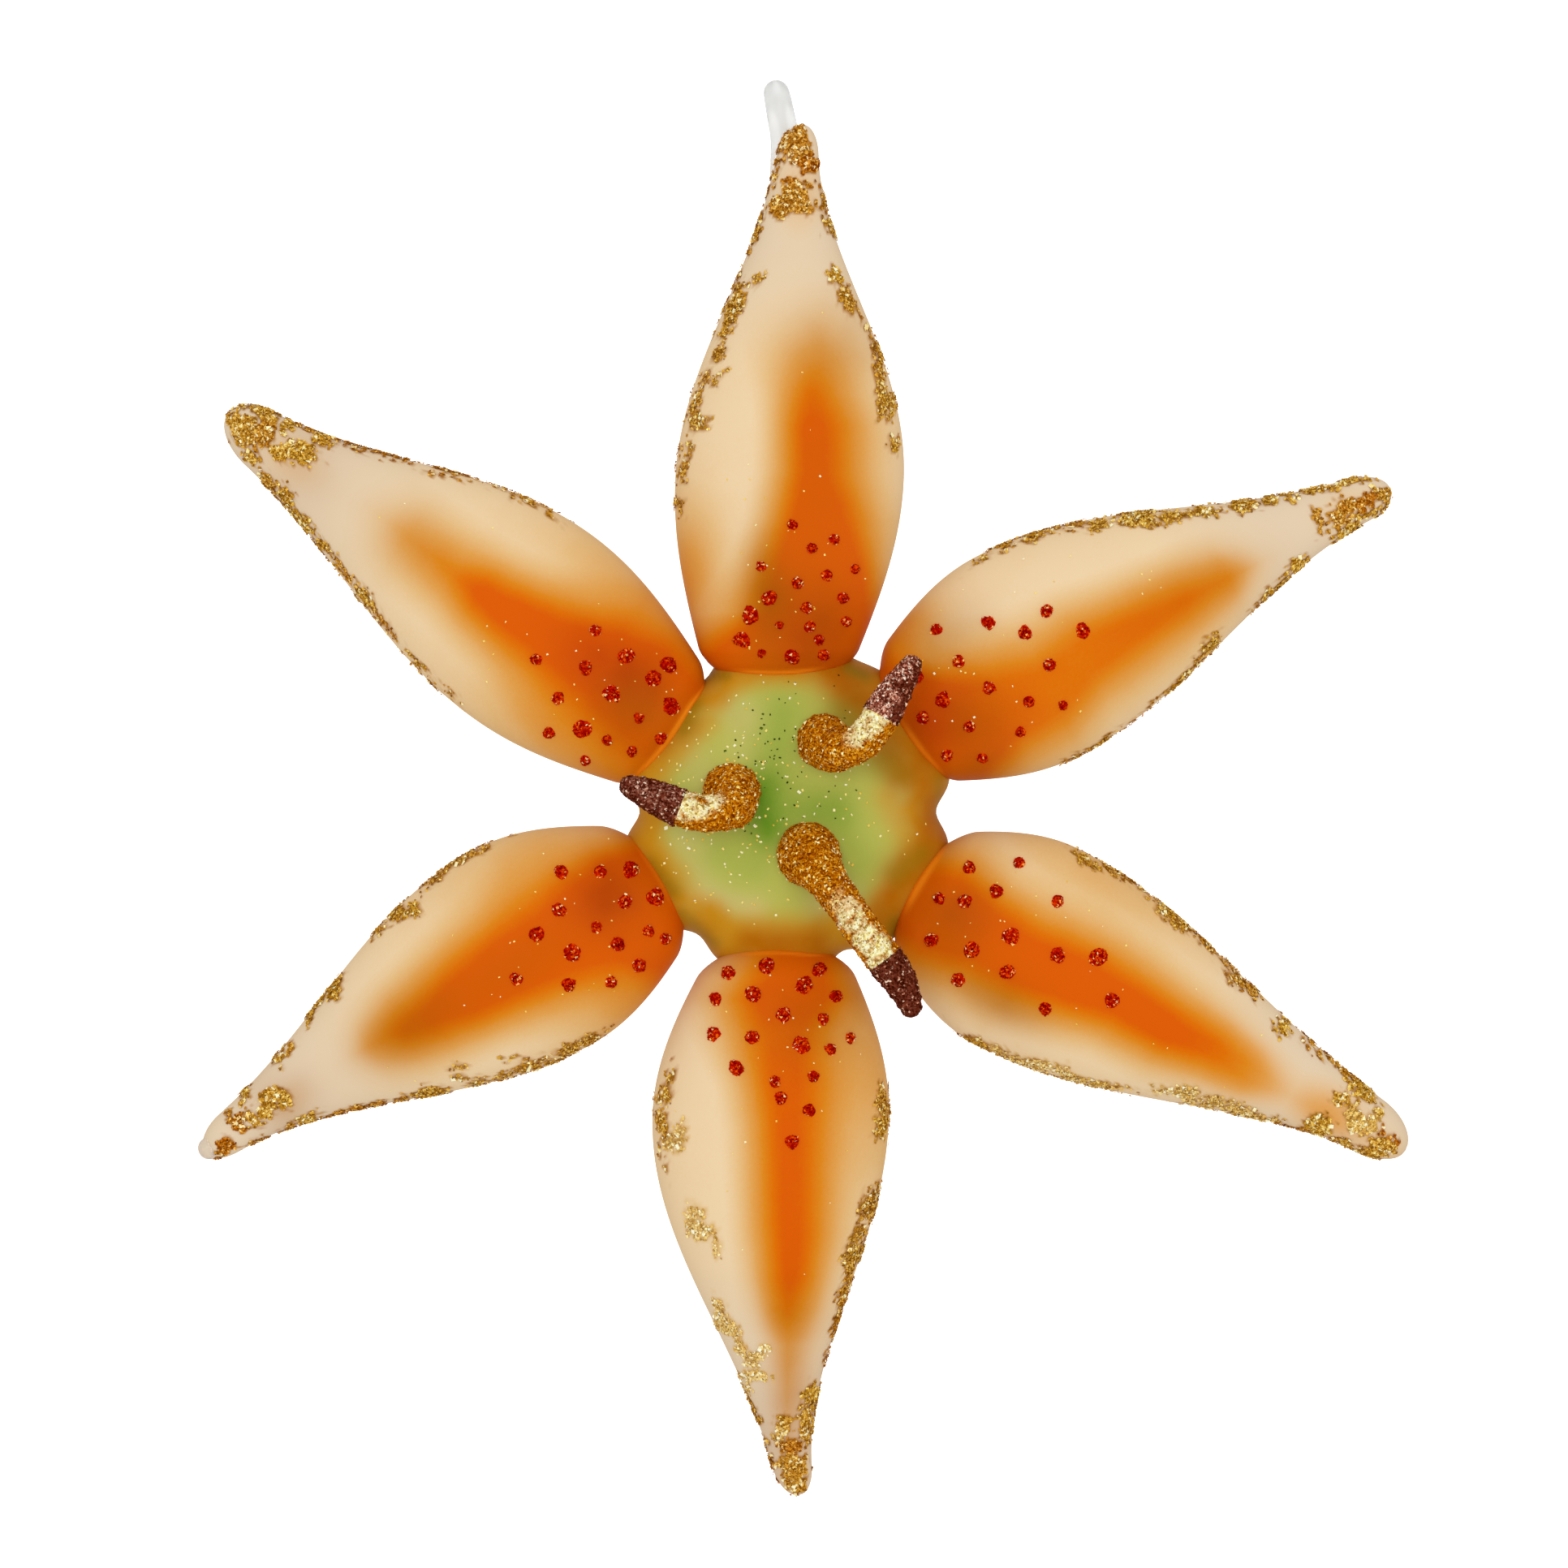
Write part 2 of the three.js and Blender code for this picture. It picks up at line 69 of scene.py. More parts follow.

# Strokes on the hub, of airbrushed paint and some painted light and shade: x and z of one end, x and
# z of the other, radius, strength.
HUB_STROKES = {
    # pale paint and painted highlight; the stroke under the left stamen is painted light that lifts its
    # shadow
    "butter": [
        (9.0, 0.8, 9.2, -1.4, 1.3, 0.4), (-7.6, -8.6, -3.4, -9.4, 1.5, 0.75),
        (2.6, -9.0, 4.6, -8.4, 1.4, 0.6), (-6.2, 8.6, -3.6, 7.2, 1.6, 0.4),
        (-9.2, -2.4, -8.0, -7.2, 1.8, 0.45), (-8.6, 4.4, -7.4, 1.4, 1.6, 0.3),
        (-4.6, 6.4, -4.0, 4.0, 1.6, 0.25),
    ],
    "green": [
        (-2.6, 0.8, -2.2, -2.6, 1.7, 0.9), (-1.8, -1.0, 3.4, -0.8, 2.2, 0.5),
        (-1.8, 2.0, -0.8, 7.2, 2.2, 0.4), (4.6, 8.4, 8.4, 2.6, 1.6, 0.3),
        (-6.0, -4.6, -3.4, -5.6, 2.0, 0.25), (3.6, -1.4, 5.8, -5.4, 1.8, 0.3),
    ],
    "amber": [
        (-6.4, -11.2, 4.4, -11.2, 1.5, 0.75), (-7.2, 6.6, -9.8, 4.0, 1.2, 0.6),
        (-12.6, -3.4, -10.0, -6.4, 1.4, 0.5), (8.4, 0.0, 10.2, -3.6, 1.5, 0.55),
        (-0.4, 11.2, -4.2, 11.4, 0.6, 0.6),
    ],
    "orange": [
        (4.2, 10.4, 7.0, 7.6, 2.2, 0.9), (7.6, 5.4, 9.6, 2.4, 1.9, 0.85),
        (11.2, 3.4, 12.4, -2.8, 1.6, 0.7), (12.6, -3.0, 10.0, -5.6, 1.7, 0.7),
        (8.8, -7.2, 7.4, -10.8, 1.6, 0.75), (-3.6, -12.0, 2.0, -12.2, 1.4, 0.7),
        (-8.6, 6.4, -11.4, 4.6, 1.2, 0.45), (-13.8, 2.2, -13.6, -2.6, 1.0, 0.3),
    ],
    # olive spray and painted crease shade by the petals' bases
    "olive": [
        (4.4, 7.4, 6.6, 6.2, 1.6, 0.5), (8.4, 3.2, 9.4, 2.2, 1.3, 0.5),
        (11.2, -4.8, 9.0, -6.4, 1.1, 0.6), (-8.4, 8.2, -9.4, 6.2, 0.9, 0.8),
        (-12.2, -5.6, -10.2, -7.8, 0.9, 0.6), (-9.4, -9.8, -6.6, -12.4, 0.6, 0.5),
        (-6.6, 10.6, -5.6, 10.6, 0.5, 0.7), (5.0, 11.2, 6.4, 10.6, 0.6, 0.8),
        (8.8, -10.6, 8.4, -12.2, 0.7, 0.7), (12.6, 1.6, 12.9, -1.6, 0.6, 0.4),
    ],
}
# The coats one over another: where each lies, its paint and how cloudy it is.
HUB_COATS = [
    ("butter", BUTTER_AND_HIGHLIGHT, 0.6), ("green", LEAF_GREEN, 0.4), ("warm", RIM_AMBER, 0.6),
    ("amber", RIM_AMBER, 0.4), ("orange", RIM_ORANGE, 0.5), ("olive", OLIVE_AND_CREASE_SHADE, 0.5),
]
HUB_CLOUD = 2.2
FRONT_EDGE, FRONT_FADE = 1.2, 3  # the strokes fade out from 0.6 to 3.6 mm behind the middle
TOOTH_SIZE, TOOTH_DEPTH, TOOTH_STRENGTH = 0.12, 0.02, 0.35
SATIN_ROUGHNESS, SATIN_UNEVENNESS, SATIN_CLOUD = 0.42, 0.16, 1.6


def linear(red, green, blue):
    """A colour on the 0 to 255 scale of a paint chart, as linear light."""
    part = np.array([red, green, blue]) / 255
    light = np.where(part <= 0.04045, part / 12.92, ((part + 0.055) / 1.055) ** 2.4)
    return (*light, 1.0)


def unit(vectors):
    return vectors / np.linalg.norm(vectors, axis=-1, keepdims=True)


def ripple(points, size, seed, waves=24):
    """Smooth noise of about unit variance whose humps are about half of size across."""
    rng = np.random.default_rng(seed)
    ways = unit(rng.normal(size=(waves, 3))) / rng.uniform(0.7, 1.5, (waves, 1))
    phases = rng.uniform(0, 2 * np.pi, waves)
    return np.sin(points @ ways.T * 2 * np.pi / size + phases).sum(axis=-1) * math.sqrt(2 / waves)


class Wire:
    """One output of a shader node. Sums and products with it add the nodes that work them out."""

    def __init__(self, finish, socket):
        self.finish, self.socket = finish, socket

    def maths(self, operation, first, second):
        return self.finish.node("ShaderNodeMath", {"operation": operation}, {0: first, 1: second})

    def __add__(self, other):
        return self.maths("ADD", self, other)

    def __sub__(self, other):
        return self.maths("SUBTRACT", self, other)

    def __rsub__(self, other):
        return self.maths("SUBTRACT", other, self)

    def __mul__(self, other):
        return self.maths("MULTIPLY", self, other)

    __radd__ = __add__
    __rmul__ = __mul__


class Finish:
    """A material on one glossy shader, whose constants are set here and whose nodes come from node()."""

    def __init__(self, name, **constants):
        self.material = bpy.data.materials.new(name)
        self.material.use_nodes = True
        self.tree = self.material.node_tree
        self.shader = self.tree.nodes["Principled BSDF"]
        for constant, value in constants.items():
            socket = constant.replace("_", " ").title().replace("Ior", "IOR")
            self.shader.inputs[socket].default_value = value

    def node(self, kind, settings, sockets, output=0):
        """A node of that kind: its settings first, then the values or wires of its sockets."""
        node = self.tree.nodes.new(kind)
        for setting, value in settings.items():
            if setting == "stops":
                self.set_stops(node.color_ramp.elements, value)
            else:
                setattr(node, setting, value)
        for socket, value in sockets.items():
            if isinstance(value, Wire):
                self.tree.links.new(value.socket, node.inputs[socket])
            else:
                node.inputs[socket].default_value = value
        return Wire(self, node.outputs[output])

    @staticmethod
    def set_stops(elements, stops):
        while len(elements) < len(stops):
            elements.new(1.0)
        for element, (position, *paint) in zip(elements, stops):
            element.position = position
            element.color = linear(*paint)

    def attribute(self, name):
        return self.node("ShaderNodeAttribute", {"attribute_name": name}, {}, "Fac")

    def place(self):
        return self.node("ShaderNodeTexCoord", {}, {}, "Object")

    def noise(self, size, detail=2.0):
        """Cloudy noise from 0 to 1 with features of that size in mm."""
        sockets = {"Vector": self.place(), "Scale": 1 / (size * MM), "Detail": detail}
        return self.node("ShaderNodeTexNoise", {}, sockets, "Fac")

    def vector(self, operation, sockets):
        return self.node("ShaderNodeVectorMath", {"operation": operation}, sockets)

    def tones(self, stops, share):
        """The colour at a share from 0 to 1 of a table of tones."""
        return self.node("ShaderNodeValToRGB", {"stops": stops}, {"Fac": share}, "Color")

    def blend(self, under, over, share):
        """Paint over paint by a share from 0 to 1. Each is a wire or a colour from 0 to 255."""
        under, over = (paint if isinstance(paint, Wire) else linear(*paint) for paint in (under, over))
        return self.node("ShaderNodeMix", {"data_type": "RGBA"}, {0: share, 6: under, 7: over}, 2)

    def coats(self, colour, coats, cloud):
        """Coats one over another, each thick where its mask says and made uneven by the cloud."""
        for mask, paint, unevenness in coats:
            share = self.attribute(mask)
            if unevenness:
                share = share * (1 + unevenness * cloud)
            colour = self.blend(colour, paint, share)
        return colour

    def feed(self, **wires):
        """Wires into the shader's own sockets."""
        for socket, wire in wires.items():
            self.tree.links.new(wire.socket, self.shader.inputs[socket.replace("_", " ").title()])


def satin(name):
    """Acid-etched milky glass: it scatters nearly all light and keeps only a very soft, low sheen."""
    return Finish(name, ior=1.45, specular_ior_level=0.04)


def etched(finish):
    """The fine tooth of etched and sprayed glass, as a bump and as uneven gloss."""
    tooth = finish.noise(TOOTH_SIZE, detail=1.0)
    sockets = {"Strength": TOOTH_STRENGTH, "Distance": TOOTH_DEPTH * MM, "Height": tooth}
    roughness = SATIN_ROUGHNESS + SATIN_UNEVENNESS * finish.noise(SATIN_CLOUD)
    finish.feed(normal=finish.node("ShaderNodeBump", {}, sockets), roughness=roughness)


def hub_paint():
    finish = satin("hub_paint")
    finish.feed(base_color=finish.coats(LIME, HUB_COATS, finish.noise(HUB_CLOUD) - 0.5))
    etched(finish)
    return finish.material


def wall_faces(rings, sides):
    """Four-sided faces between rings of points."""
    side = np.arange(sides)
    after = (side + 1) % sides
    start = np.arange(rings - 1)[:, None] * sides
    walls = np.stack([start + side, start + after, start + sides + after, start + sides + side], axis=-1)
    return walls.reshape(-1, 4).tolist()


def skin_faces(rings, sides):
    """Faces of a closed skin over rings of points, one after another, then a first and a last pole."""
    first, last = rings * sides, rings * sides + 1
    top = (rings - 1) * sides
    neighbours = [(side, (side + 1) % sides) for side in range(sides)]
    caps = [(first, b, a) for a, b in neighbours] + [(last, top + a, top + b) for a, b in neighbours]
    return wall_faces(rings, sides) + caps


def add_masks(mesh, masks):
    """Named values at the mesh's points, for its paint."""
    for mask, values in masks.items():
        mesh.attributes.new(mask, "FLOAT", "POINT").data.foreach_set("value", values.astype(np.float32))


def make_piece(name, points, faces, material, masks=(), smooth=True):
    """A mesh about the flower's middle that rides on the ornament."""
    mesh = bpy.data.meshes.new(name)
    mesh.from_pydata(((points + MIDDLE) * MM).tolist(), [], faces)
    mesh.polygons.foreach_set("use_smooth", np.full(len(mesh.polygons), smooth))
    add_masks(mesh, dict(masks))
    mesh.materials.append(material)
    made = bpy.data.objects.new(name, mesh)
    bpy.context.scene.collection.objects.link(made)
    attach(made, "root")
    return made


def rim_radius(angle):
    """How far the hub's rim stands out at an angle in degrees: it dips in at each valley."""
    away = np.abs((angle[:, None] - VALLEYS[:, 0] + 180) % 360 - 180)
    valley = VALLEYS[away.argmin(axis=1), 1]
    return valley + (WEB_RADIUS - valley) * (1 - np.exp(-((away.min(axis=1) / VALLEY_WIDTH) ** 2)))


def hub_points(polar, angle):
    """Points of the hub's skin. polar runs from 0 at the back to pi at the front."""
    spread = np.sin(polar) ** HUB_FULLNESS * rim_radius(angle)
    dome = np.where(polar > np.pi / 2, HUB_FRONT, HUB_BACK)
    dimple = np.where(polar > np.pi / 2, DIMPLE_DEPTH, 0) * np.exp(-((spread / DIMPLE_RADIUS) ** 2))
    turn = np.radians(angle)
    depth = -dome * np.cos(polar) - dimple
    return HUB_MIDDLE + np.stack([spread * np.cos(turn), -depth, spread * np.sin(turn)], axis=-1)


def from_hub(x, z):
    """How far x and z lie from the hub's middle, and at what angle in degrees."""
    x, z = x - HUB_MIDDLE[0], z - HUB_MIDDLE[2]
    return np.hypot(x, z), np.degrees(np.arctan2(z, x))


def hub_front(x, z):
    """Points of the hub's front skin over x and z."""
    spread, angle = from_hub(x, z)
    polar = np.pi - np.arcsin((spread / rim_radius(angle)).clip(0, 0.98) ** (1 / HUB_FULLNESS))
    return hub_points(polar, angle)


def stroked(points, strokes):
    """How much paint the strokes leave at each point of a front skin."""
    start_x, start_z, end_x, end_z, radius, strength = np.array(strokes).T
    run_x, run_z = end_x - start_x, end_z - start_z
    x, z = points[:, :1] - start_x, points[:, 2:] - start_z
    share = ((x * run_x + z * run_z) / (run_x**2 + run_z**2)).clip(0, 1)
    away = np.hypot(x - share * run_x, z - share * run_z) / radius
    return 1 - np.prod(1 - strength * np.exp(-(away**2)), axis=1)


def smooth(x):
    x = np.clip(x, 0, 1)
    return x * x * (3 - 2 * x)


def towards_rim(points):
    """The share of the way from the hub's middle out to its rim."""
    spread, angle = from_hub(points[:, 0], points[:, 2])
    return spread / rim_radius(angle)


ring_polar = np.pi * np.arange(1, HUB_RINGS + 1) / (HUB_RINGS + 1)
side_angle = 360 * np.arange(HUB_SIDES) / HUB_SIDES
hub_skin = hub_points(np.repeat(ring_polar, HUB_SIDES), np.tile(side_angle, HUB_RINGS))
hub_poles = hub_points(np.array([0.0, np.pi]), np.array([0.0, 0.0]))
hub_skin = np.concatenate([hub_skin, hub_poles])
outward = towards_rim(hub_skin) + WARM_RAGGED * ripple(hub_skin, size=6.0, seed=12)
in_front = smooth(FRONT_EDGE - hub_skin[:, 1] / FRONT_FADE)
hub_masks = {mask: in_front * stroked(hub_skin, strokes) for mask, strokes in HUB_STROKES.items()}
hub_masks["warm"] = WARM_STRENGTH * smooth((outward - WARM_FROM) / (WARM_TO - WARM_FROM))
hub_faces = skin_faces(HUB_RINGS, HUB_SIDES)
hub = make_piece("hub_glass", hub_skin, hub_faces, hub_paint(), hub_masks)
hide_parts("hub")

# ---- The petals: six lobes blown out of the hub, milky glass like it and one body with it. Each is
# sprayed cream with an orange stripe up its middle that fades through brown, and rust over its base. The
# amber on its base's sides is partly spray and partly painted glow of light through the glass, the darker
# tan along its rim is painted shade, and the bright orange line where it rises from the hub is a painted
# glint. They are made of rings of points that run from base to tip.

NECK_AT = 12.0
BASE_ROUND = 3.2
NECK_FLATNESS, BELLY_FLATNESS = 0.82, 0.6
FLATNESS_FADE = 1.5
FLICK_FADE = 10
BASE_LIFT = 1.6
TIP_ROUND = 1.6
PETAL_RINGS, PETAL_SIDES = 150, 112
RING_CROWDING, RING_EVENNESS = 0.55, 0.45  # the rings lie closer at the two ends

# A petal starts at its lap and has half widths at its neck, belly and tip. Its middle line has a sway at
# base, middle and tip and a flick at the very tip, and bends back by its recurve. The valleys are the
# angles of the creases beside it. Each stripe stop is a place along the petal, then across it where the
# orange starts and is full on the left, is last full and ends on the right, and its strength. The rust
# and each dab, of amber spray in dabs and of olive brown in shade, is along, across, length, width and
# strength. The web is how amber the base's sides are, partly amber spray and partly painted glow of light
# through the glass. The glint is a painted glint, bright orange light on the glass where the petal rises
# from the hub: from where to where across the crease at the hub it is bright, how much, and how many mm
# out from the hub it is brightest.
PETALS = {
    "top": dict(
        angle=89.3, length=58.3, lap=9.8, neck=6.6, belly=9.85, belly_at=27.5, tip=1.65,
        sway=(1.3, -0.7, 0.7), flick=-0.9, recurve=1.0, valleys=(65, 123),
        rust=(13.5, -1.2, 4.0, 3.4, 0.85), web=0.8, glint=(4.5, -2.0, 0.9, 0.4),
        shade=[
            (17, 2.2, 5, 2.2, 0.7), (15, -2, 4, 3, 0.4), (26, -2, 9, 3.5, 0.15), (39, -3, 4, 4, 0.2),
        ],
        stripe=[
            (12, 14, 8, -9, -14, 1.0), (16, 8, 2.8, -6.8, -10, 1.0), (20, 5.6, 2, -6.4, -9, 1.0),
            (24, 4.0, 0.8, -4.8, -9.6, 1.0), (28, 3.4, -0.2, -3.2, -8.8, 1.0),
            (32, 3.2, 0, -3, -8.6, 1.0), (35, 3.6, -0.2, -2.6, -7.6, 0.84),
            (38, 4.4, -0.4, -3.2, -7.4, 0.56), (41, 4.2, -1, -3, -7, 0.3), (45, 3, -2, -3.4, -6, 0.03),
        ],
        dabs=[(19, 9.5, 6, 3.4, 0.6), (52, 0, 5, 3, 0.35)],
    ),
    "upper_right": dict(
        angle=27.1, length=58.5, lap=10.5, neck=6.0, belly=9.65, belly_at=23.6, tip=1.9,
        sway=(1.6, 0.5, 0.7), flick=-0.3, recurve=4.0, valleys=(-1, 65),
        rust=(13, 0.4, 3.6, 3.4, 0.8), web=0.8, glint=(1.5, -4.0, 0.7, 0.6),
        shade=[
            (14, -5.5, 3.5, 2, 0.6), (18, 6.5, 4, 2.5, 0.3), (17, -1, 3.6, 3.4, 0.4),
            (40, 0.5, 7, 2.5, 0.15),
        ],
        stripe=[
            (12, 12, 7, -7, -12, 1.0), (16, 7.5, 3.4, -6, -9, 1.0), (20, 7, 1.6, -4.6, -9, 0.92),
            (24, 6, 0.8, -4.8, -8.8, 0.84), (28, 5.8, 1.6, -3.0, -7.2, 0.84),
            (33, 5, 1.2, -2, -6.4, 0.88), (38, 4.6, 1, -1.3, -5.2, 0.86),
            (42, 4.3, 0.8, -1.1, -4.2, 0.74), (44, 3.7, 0.4, -0.8, -3.5, 0.5),
            (46, 3.2, 0, -0.6, -3.2, 0.25), (50, 2.6, -0.4, -0.8, -3, 0.02),
        ],
        dabs=[(15, 8.5, 4, 3, 0.6), (54, 0.5, 4, 3, 0.3)],
    ),
    "lower_right": dict(
        angle=-30.1, length=61.3, lap=12.2, neck=4.6, belly=9.5, belly_at=23.8, tip=2.3,
        sway=(-1.1, -0.4, 1.5), flick=-1.1, recurve=4.0, valleys=(-68, -1),
        rust=(17.5, -1.2, 2.6, 1.6, 0.3), web=0.45, glint=(3.0, -3.0, 1.0, 0.9),
        shade=[(17, -2, 3.5, 4, 0.4), (24, -6, 4, 2, 0.5)],
        stripe=[
            (13, 6, 0.6, -5.4, -9, 1.0), (16, 6, 1.8, -5.6, -10.8, 1.0), (20, 5, 0.8, -4.6, -9.2, 1.0),
            (24, 5, 0.6, -4.6, -8.8, 1.0), (28, 5.4, 1.2, -3.8, -7.6, 1.0),
            (33, 5.2, 1.2, -2.6, -6.2, 1.0), (38, 4.5, 0.8, -2.5, -5.8, 1.0),
            (42, 4.3, 1, -1.8, -5.1, 0.9), (46, 4, 1, -2.2, -4.8, 0.66), (50, 4, 0.6, -1.6, -4.2, 0.32),
        ],
        dabs=[(26, 7.5, 12, 3, 0.3), (53.5, 0, 3.4, 3, 0.3)],
    ),
    "bottom": dict(
        angle=-89.3, length=60.3, lap=12.1, neck=5.2, belly=10.2, belly_at=27.3, tip=1.6,
        sway=(-1.3, -1.2, -0.7), flick=0.5, recurve=4.0, valleys=(-125, -68),
        rust=(19, 0.0, 3.0, 2.0, 0.15), web=0.55, glint=(3.0, -4.0, 0.7, 0.4),
        shade=[(19, 1.5, 4, 5, 0.3), (44, -0.8, 3, 2.4, 0.25), (53, -0.8, 6, 2.4, 0.4)],
        stripe=[
            (14, 7, 3, -1.6, -8.6, 1.0), (17, 8, 3.4, -3.8, -9.4, 1.0), (20, 8.2, 1.2, -3, -8.8, 0.92),
            (24, 8.2, 1.2, -2.8, -6.8, 0.94), (28, 7.2, 1, -2.2, -6, 0.96),
            (33, 6, 1.2, -2.2, -5.8, 0.95), (37, 5.2, 1.2, -2, -5.6, 0.98),
            (41, 4.4, 0.6, -1.8, -5.2, 1.0), (44, 4.2, 0, -1.8, -4.8, 0.84),
            (47, 4, -0.2, -1.6, -4.4, 0.56), (52, 3, -0.8, -1.4, -4, 0.5), (56, 2, -1, -1.4, -3, 0.4),
        ],
        dabs=[(24, 7.5, 12, 2.6, 0.35)],
    ),
    "lower_left": dict(
        angle=-149.1, length=59.3, lap=12.2, neck=4.6, belly=9.8, belly_at=25.7, tip=1.7,
        sway=(0.2, -0.7, -0.4), flick=0.5, recurve=4.0, valleys=(181, 235),
        rust=(17.5, -1.2, 3.4, 3.0, 0.7), web=0.4, glint=(2.0, -3.0, 0.4, 0.4),
        shade=[
            (17, -1, 3.5, 3.5, 0.25), (28, 0, 7, 2.4, 0.2), (38, 0, 5, 2.6, 0.45),
            (51, 0, 3, 2.4, 0.35),
        ],
        stripe=[
            (13, 9, 5, -3.4, -6, 1.0), (17, 14, 7, -4.2, -7.4, 1.0), (20, 10.5, 4.4, -3.8, -8.6, 1.0),
            (24, 8, 3.4, -3, -9, 1.0), (28, 6.8, 2.8, -3, -7.4, 1.0), (32, 5.8, 2.4, -2.4, -6.6, 1.0),
            (36, 5.3, 1.6, -1.5, -5.6, 0.98), (39, 4.9, 1, -1.4, -5.1, 0.88),
            (42, 4.4, 0.5, -1.3, -4.4, 0.56), (45, 3, -0.4, -0.8, -3, 0.08),
        ],
        dabs=[(21, 8.5, 7, 3, 0.4), (50.5, 0.2, 3, 2.8, 0.25), (22, -8, 9, 3, 0.3)],
    ),
    "upper_left": dict(
        angle=145.7, length=59.2, lap=10.2, neck=5.9, belly=9.4, belly_at=26.9, tip=2.4,
        sway=(1.0, -0.7, 0.5), flick=-0.6, recurve=4.0, valleys=(123, 181),
        rust=(18.5, -0.6, 5.0, 3.0, 0.75), web=0.7, glint=(6.0, -4.0, 1.0, 0.4),
        shade=[(15.5, 1, 4, 3.5, 0.5), (40, 0, 4, 3.4, 0.1), (51, 0, 4, 3, 0.2)],
        stripe=[
            (12, 12, 4, -4, -9, 1.0), (16, 9.6, 3.6, -5, -8.6, 1.0), (20, 8.8, 2.8, -4, -9, 1.0),
            (24, 7.6, 2.4, -2.2, -7, 1.0), (28, 6.2, 2.2, -1.5, -5.2, 1.0),
            (32, 5.6, 1.7, -0.9, -4.5, 1.0), (35, 5, 1.3, -0.7, -4.5, 0.76),
            (40, 4.8, 1, -1.2, -4.6, 0.54), (42, 4.6, 0.6, -1.2, -4.4, 0.36),
            (46, 3, 0, -0.6, -3, 0.02),
        ],
        dabs=[(20, 7, 8, 3.6, 0.45), (52, 0, 5, 3.4, 0.3), (22, -7, 9, 3, 0.35)],
    ),
}

# From bare cream, through the thin amber edge of the spray, to the full orange.
SPRAY_TONES = [
    (0.0, 238, 210, 168), (0.25, 230, 188, 128), (0.5, 224, 160, 78), (0.72, 221, 134, 26),
    (0.87, 222, 112, 0), (1.0, 220, 92, 0),
]
SPRAY_OUT, SPRAY_FEATHER = 0.5, 1.5
SPRAY_STRENGTH = 1.04
GRAIN_SIZE, GRAIN_STRENGTH = 0.25, 0.06
CLOUD_SIZE, CLOUD_STRENGTH = 4.0, 0.08
TIP_IVORY = (228, 207, 178)
RUST = (186, 52, 0)
OLIVE_BROWN = (156, 84, 0)
# Painted shade: darker tan along each petal's rim, where its skin turns away from the front.
RIM_SHADE_TAN = (216, 168, 100)
# Partly amber spray, partly painted glow of light through the glass at the sides of each petal's base.
WEB_AMBER_AND_GLOW = (214, 118, 10)
# Painted glint: bright orange light on the glass where each petal's base rises from the hub's skin.
PAINTED_GLINT_ORANGE = (255, 148, 24)
PETAL_COATS = [
    ("ivory", TIP_IVORY, 0), ("rim", RIM_SHADE_TAN, 0.48), ("rust", RUST, 1.2), ("shade", OLIVE_BROWN, 0.6),
    ("web", WEB_AMBER_AND_GLOW, 0.72), ("crease", PAINTED_GLINT_ORANGE, 0),
]
GLUE_GOLD = (176, 114, 24)
GLUE_PALE = (220, 180, 110)
FRONT_STEEPNESS, FRONT_SPILL = 2, 0.7  # how fast the paint ends round the rim, and how far it laps over
IVORY_FROM, IVORY_RUN, IVORY_STRENGTH = 36, 14, 0.9
RIM_BREADTH, RIM_FADE, RIM_SHADE_STRENGTH = 0.8, 1.5, 0.3
WEB_SIDE_RUN, WEB_MIDDLE_RUN, WEB_MIDDLE_STRENGTH = 0.5, 0.3, 0.45
GLINT_FEATHER = 1.5
GLINT_END, GLINT_END_FADE = 0.99, 0.03  # shares of the way out to the hub's rim


def section(petal, along):
    """The section across a petal: its middle, its depth, its half width and its half depth."""
    rise = np.clip((along - NECK_AT) / (petal["belly_at"] - NECK_AT), 0, 1)
    fall = np.clip((along - petal["belly_at"]) / (petal["length"] - petal["belly_at"]), 0, 1)
    run = np.clip((along - NECK_AT) / (petal["length"] - NECK_AT), 0, 1)
    swell = petal["neck"] + (petal["belly"] - petal["neck"]) * np.sin(rise * np.pi / 2)
    taper = petal["tip"] + (petal["belly"] - petal["tip"]) * (1 + np.cos(fall * np.pi)) / 2
    outline = np.where(rise < 1, swell, taper)
    neck_part = NECK_FLATNESS + (BELLY_FLATNESS - NECK_FLATNESS) * rise
    tip_part = BELLY_FLATNESS + (1 - BELLY_FLATNESS) * fall**FLATNESS_FADE
    flatness = np.where(rise < 1, neck_part, tip_part)
    base_end = rounded((along - petal["lap"]) / BASE_ROUND)
    tip_end = rounded((petal["length"] - along) / (TIP_ROUND * petal["tip"]))
    base_sway, bow, tip_sway = petal["sway"]
    middle = base_sway + (tip_sway - base_sway) * run + bow * np.sin(run * np.pi)
    middle = middle + petal["flick"] * run**FLICK_FADE
    depth = BASE_LIFT - (BASE_LIFT + petal["recurve"]) * run**2
    return middle, depth, outline * base_end * tip_end, outline * flatness * base_end * tip_end


def rounded(x):
    """A quarter circle's profile: 0 at the very end of a round body, 1 once past the rounding."""
    return np.sqrt(1 - (1 - np.clip(x, 0, 1)) ** 2)


def spread_out(petal, along, across):
    """The x and z of a place along and across a petal."""
    angle = math.radians(petal["angle"])
    x = along * math.cos(angle) - across * math.sin(angle)
    return x, along * math.sin(angle) + across * math.cos(angle)


def petal_points(petal, along, turn):
    """Points of a petal's skin. turn is the angle round its section, from its left rim by its front."""
    middle, depth, half_width, half_depth = section(petal, along)
    across = middle + half_width * np.cos(turn)
    low, high = ((valley - petal["angle"] + 180) % 360 - 180 for valley in petal["valleys"])
    across = np.clip(across, along * math.tan(math.radians(low)), along * math.tan(math.radians(high)))
    x, z = spread_out(petal, along, across)
    return np.stack([x, -depth - half_depth * np.sin(turn), z], axis=-1)


